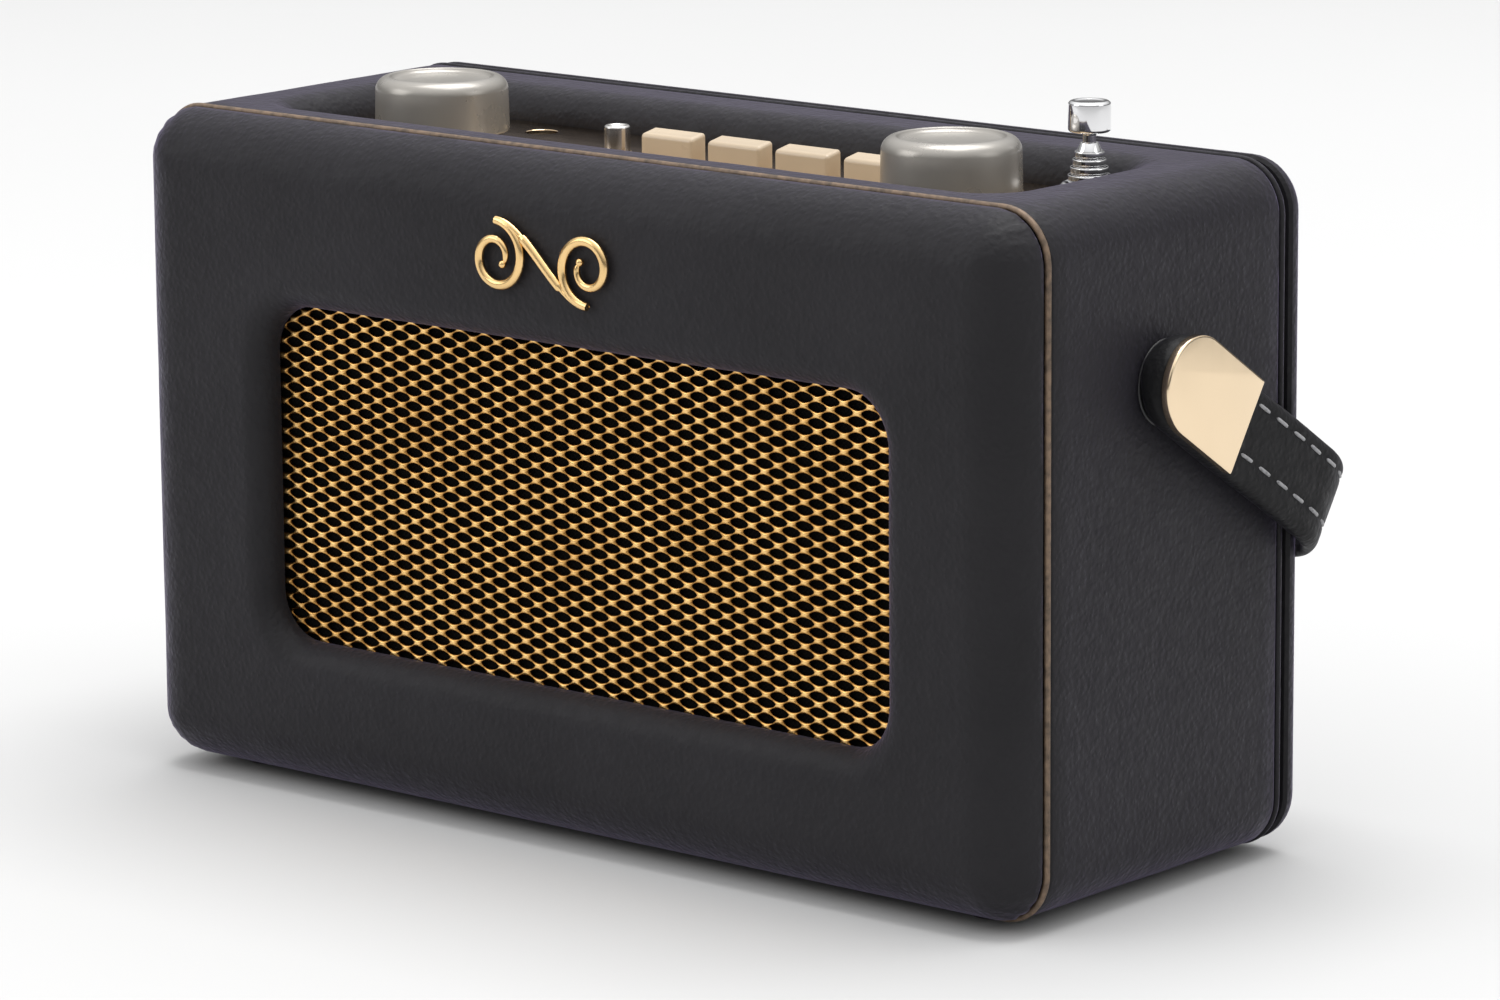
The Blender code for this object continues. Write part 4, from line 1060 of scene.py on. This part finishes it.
def end_plates():
    for side, name in ((1, "end_plate_right"), (-1, "end_plate_left")):
        low, high = span(name)
        outer = max(abs(low.x), abs(high.x))
        inner = outer - 1.6
        radius = 8.8

        def bullet(inset):
            points = arc((0, 0), radius - inset, 90, 270, 36)
            length = PLATE_LENGTH - inset
            r = radius - inset
            points += [(length * i / 8, -r) for i in range(1, 8)]
            points += arc((length - 0.35, -r + 0.35), 0.35, 270, 360, 4)
            points += arc((length - 0.35, r - 0.35), 0.35, 0, 90, 4)
            points += [(length * i / 8, r) for i in range(7, 0, -1)]
            return points

        levels = [(0.15, inner), (0.0, inner + 0.15), (0.0, outer - 0.35)]
        levels += [(0.06, outer - 0.17), (0.2, outer - 0.05), (0.4, outer)]
        rings = [[(side * x, y, w) for y, w in bullet(inset)] for inset, x in levels]
        bm = capped(bmesh.new(), rings)
        stud = [(0, 0), (2.5, 0), (2.5, 15), (0, 15)]
        start = side * (inner + 0.2)
        lathe(bm, stud, 32, (start, 0, 0), TO_MINUS_X if side > 0 else TO_X)
        piece(f"{name}_polished", bm, "handle", "end_plate_gold", [name], 30, HANDLE)


def bosses():
    for side, name in ((1, "handle_boss_right"), (-1, "handle_boss_left")):
        low, high = span(name)
        collar, face = max(abs(low.x), abs(high.x)), WIDTH / 2 + 0.3
        wall = min(abs(low.x), abs(high.x))
        profile = [(2.6, collar), (7.4, collar), (7.6, collar - 0.2), (7.6, face)]
        profile += [(4.0, face), (4.0, wall), (2.6, wall), (2.6, collar)]
        at, turn = (0, 0, PIVOT_Z), TO_X if side > 0 else TO_MINUS_X
        made = f"{name}_moulding"
        turned(made, profile, (0.2, 3), 72, at, "cabinet", "black_plastic", [name], turn)


# ---------------- back and feet


def battery_door():
    low, high = span("battery_door")
    half = ((high.x - low.x) / 2, (high.z - low.z) / 2)
    centre = ((low.x + high.x) / 2, (low.z + high.z) / 2)
    front, rear = high.y - 2.3, high.y
    levels = [(0.3, front), (0.0, front + 0.3), (0.0, rear - 0.5), (0.15, rear - 0.15), (0.5, rear)]
    rings = []
    for inset, y in levels:
        shape = outline((half[0] - inset, half[1] - inset), 1.4, 6)
        rings.append([(centre[0] + x, y, centre[1] + z) for x, z in shape])
    body, bm = "battery_door", capped(bmesh.new(), rings)
    door = piece("battery_door_moulding", bm, body, "black_plastic", [body], 30)
    tools = []
    for number in range(9):
        z = low.z + 4.5 + number * 2.1
        shape = outline((half[0] - 6, 0.45), 0.44, 4)
        rings = [[(centre[0] + x, y, z + w) for x, w in shape] for y in (rear - 0.5, rear + 2)]
        tools.append(cutting(capped(bmesh.new(), rings)))
    deep = outline((7.0, 1.3), 1.0, 6)
    wide = outline((8.0, 2.2), 1.6, 6)
    pull_z = high.z - 4.4
    rings = [[(centre[0] + x, rear - 0.9, pull_z + w) for x, w in deep]]
    rings += [[(centre[0] + x, y, pull_z + w) for x, w in wide] for y in (rear + 0.01, rear + 2)]
    tools.append(cutting(capped(bmesh.new(), rings)))
    cut(door, tools)
    smooth(door, 30)


def screws():
    for number in range(1, 5):
        node = f"back_screw_{number}"
        low, high, centre = measured(node)
        top = 1.1
        profile = [(0, top), (1.2, top - 0.03), (2.1, top - 0.3), (2.8, top - 0.62), (3.0, 0.3)]
        profile += [(1.6, 0.3), (1.6, -7.0), (0, -8.6)]
        at = (centre.x, BACK_Y, centre.z)
        name = f"{node}_head"
        screw = turned(name, profile, (0.15, 3), 48, at, "cabinet", "steel", [node], TO_Y)
        tools = []
        for turn in (45, 135):
            slot = prism((1.7, 0.3), 0.05, 0.35, 3, 1)
            for way in (Matrix.Rotation(math.radians(turn), 3, "Z"), TO_Y.to_3x3()):
                bmesh.ops.rotate(slot, verts=slot.verts, matrix=way)
            tools.append(cutting(slot, at))
        cut(screw, tools)


def sockets():
    for node, bore in (("dc_socket", 2.9), ("aux_socket", 1.8)):
        low, high, centre = measured(node)
        rim = (high.x - low.x) / 2
        profile = [(bore, 1.2), (bore + 0.5, 1.2), (bore + 0.8, 0.9), (rim - 0.8, 0.9)]
        profile += [(rim - 0.5, 1.2), (rim, 1.0), (rim, 0.3), (rim - 1.2, 0.3)]
        profile += [(rim - 1.2, -9.0), (bore, -9.0), (bore, 1.2)]
        at, made = (centre.x, BACK_Y, centre.z), f"{node}_moulding"
        turned(made, profile, (0.15, 3), 64, at, "cabinet", "black_plastic", [node], TO_Y)


def feet():
    for number in range(1, 5):
        node = f"foot_{number}"
        low, high, centre = measured(node)
        r = (high.x - low.x) / 2
        profile = [(0, high.z), (r - 0.6, high.z), (r, high.z - 0.3), (r, low.z + 0.5)]
        profile += [(r - 0.4, low.z), (0, low.z)]
        at, made = (centre.x, centre.y, 0), f"{node}_moulding"
        turned(made, profile, (0.25, 3), 48, at, "cabinet", "rubber", [node])


for build in (
    front_cover, sleeve, back_face, piping, grille, badge, control_panel, knobs, keys, standby,
    jack, aerial, strap, stitching, end_plates, bosses, battery_door, screws, sockets, feet,
):
    build()


# ---------------- floor, light and camera


def floor():
    mesh = bpy.data.meshes.new("studio_floor")
    reach = 12.0
    corners = [(-reach, -reach, 0), (reach, -reach, 0), (reach, reach, 0), (-reach, reach, 0)]
    mesh.from_pydata(corners, [], [(0, 1, 2, 3)])
    paper = Nodes("studio_paper", (0.62, 0.62, 0.62), 0.9, specular_ior_level=0.1)
    paper.colour(paper.noise(3, 2), (0.3, 0.615), (0.7, 0.625))
    mesh.materials.append(paper.material)
    placed("studio_floor", mesh)


def softbox(name, place, target, size, power):
    light = bpy.data.lights.new(name, "AREA")
    light.shape = "RECTANGLE"
    light.size, light.size_y = size
    light.energy = power
    lamp = placed(name, light)
    lamp.location = place
    lamp.rotation_euler = (Vector(target) - Vector(place)).to_track_quat("-Z", "Y").to_euler()


def sky():
    """A white room: brightest overhead, dimmer towards the horizon."""
    world = bpy.data.worlds.new("studio")
    bpy.context.scene.world = world
    world.use_nodes = True
    tree = world.node_tree
    background = tree.nodes["Background"]
    place = tree.nodes.new("ShaderNodeTexCoord")
    split = tree.nodes.new("ShaderNodeSeparateXYZ")
    ramp = tree.nodes.new("ShaderNodeValToRGB")
    tree.links.new(place.outputs["Generated"], split.inputs[0])
    tree.links.new(split.outputs["Z"], ramp.inputs["Fac"])
    tree.links.new(ramp.outputs["Color"], background.inputs["Color"])
    fill_ramp(ramp.color_ramp, [(0.0, 0.1), (0.15, 0.14), (0.45, 0.55), (0.8, 1.0)])
    background.inputs["Strength"].default_value = 1.3


def camera():
    """A long lens from the right, a little above, at the height of a table display."""
    eye = CASE + Vector((745.07, -866.46, 296.21)) * MM
    yaw, pitch, roll = math.radians(40.27), math.radians(11.92), math.radians(-0.42)
    flat = math.cos(pitch)
    look = Vector((-math.sin(yaw) * flat, math.cos(yaw) * flat, -math.sin(pitch)))
    level = Vector((math.cos(yaw), math.sin(yaw), 0))
    up = level.cross(look)
    right = level * math.cos(roll) + up * math.sin(roll)
    up = up * math.cos(roll) - level * math.sin(roll)
    turn = Matrix((right, up, -look)).transposed().to_4x4()
    lens = bpy.data.cameras.new("camera")
    lens.lens = 156.04
    lens.sensor_width = 36.0
    lens.clip_end = 100
    eye_object = placed("camera", lens)
    eye_object.matrix_world = Matrix.Translation(eye) @ turn
    bpy.context.scene.camera = eye_object


floor()
sky()
softbox("left_softbox", (-1.3, -1.5, 0.9), (0, 0, 0.06), (1.2, 1.2), 8)
softbox("right_softbox", (1.9, 0.5, 0.8), (0, 0, 0.06), (1.0, 1.0), 3)
softbox("top_softbox", (0, 0.3, 1.8), (0, 0, 0.1), (1.4, 1.4), 23)
camera()
bpy.context.scene.view_settings.view_transform = "Standard"
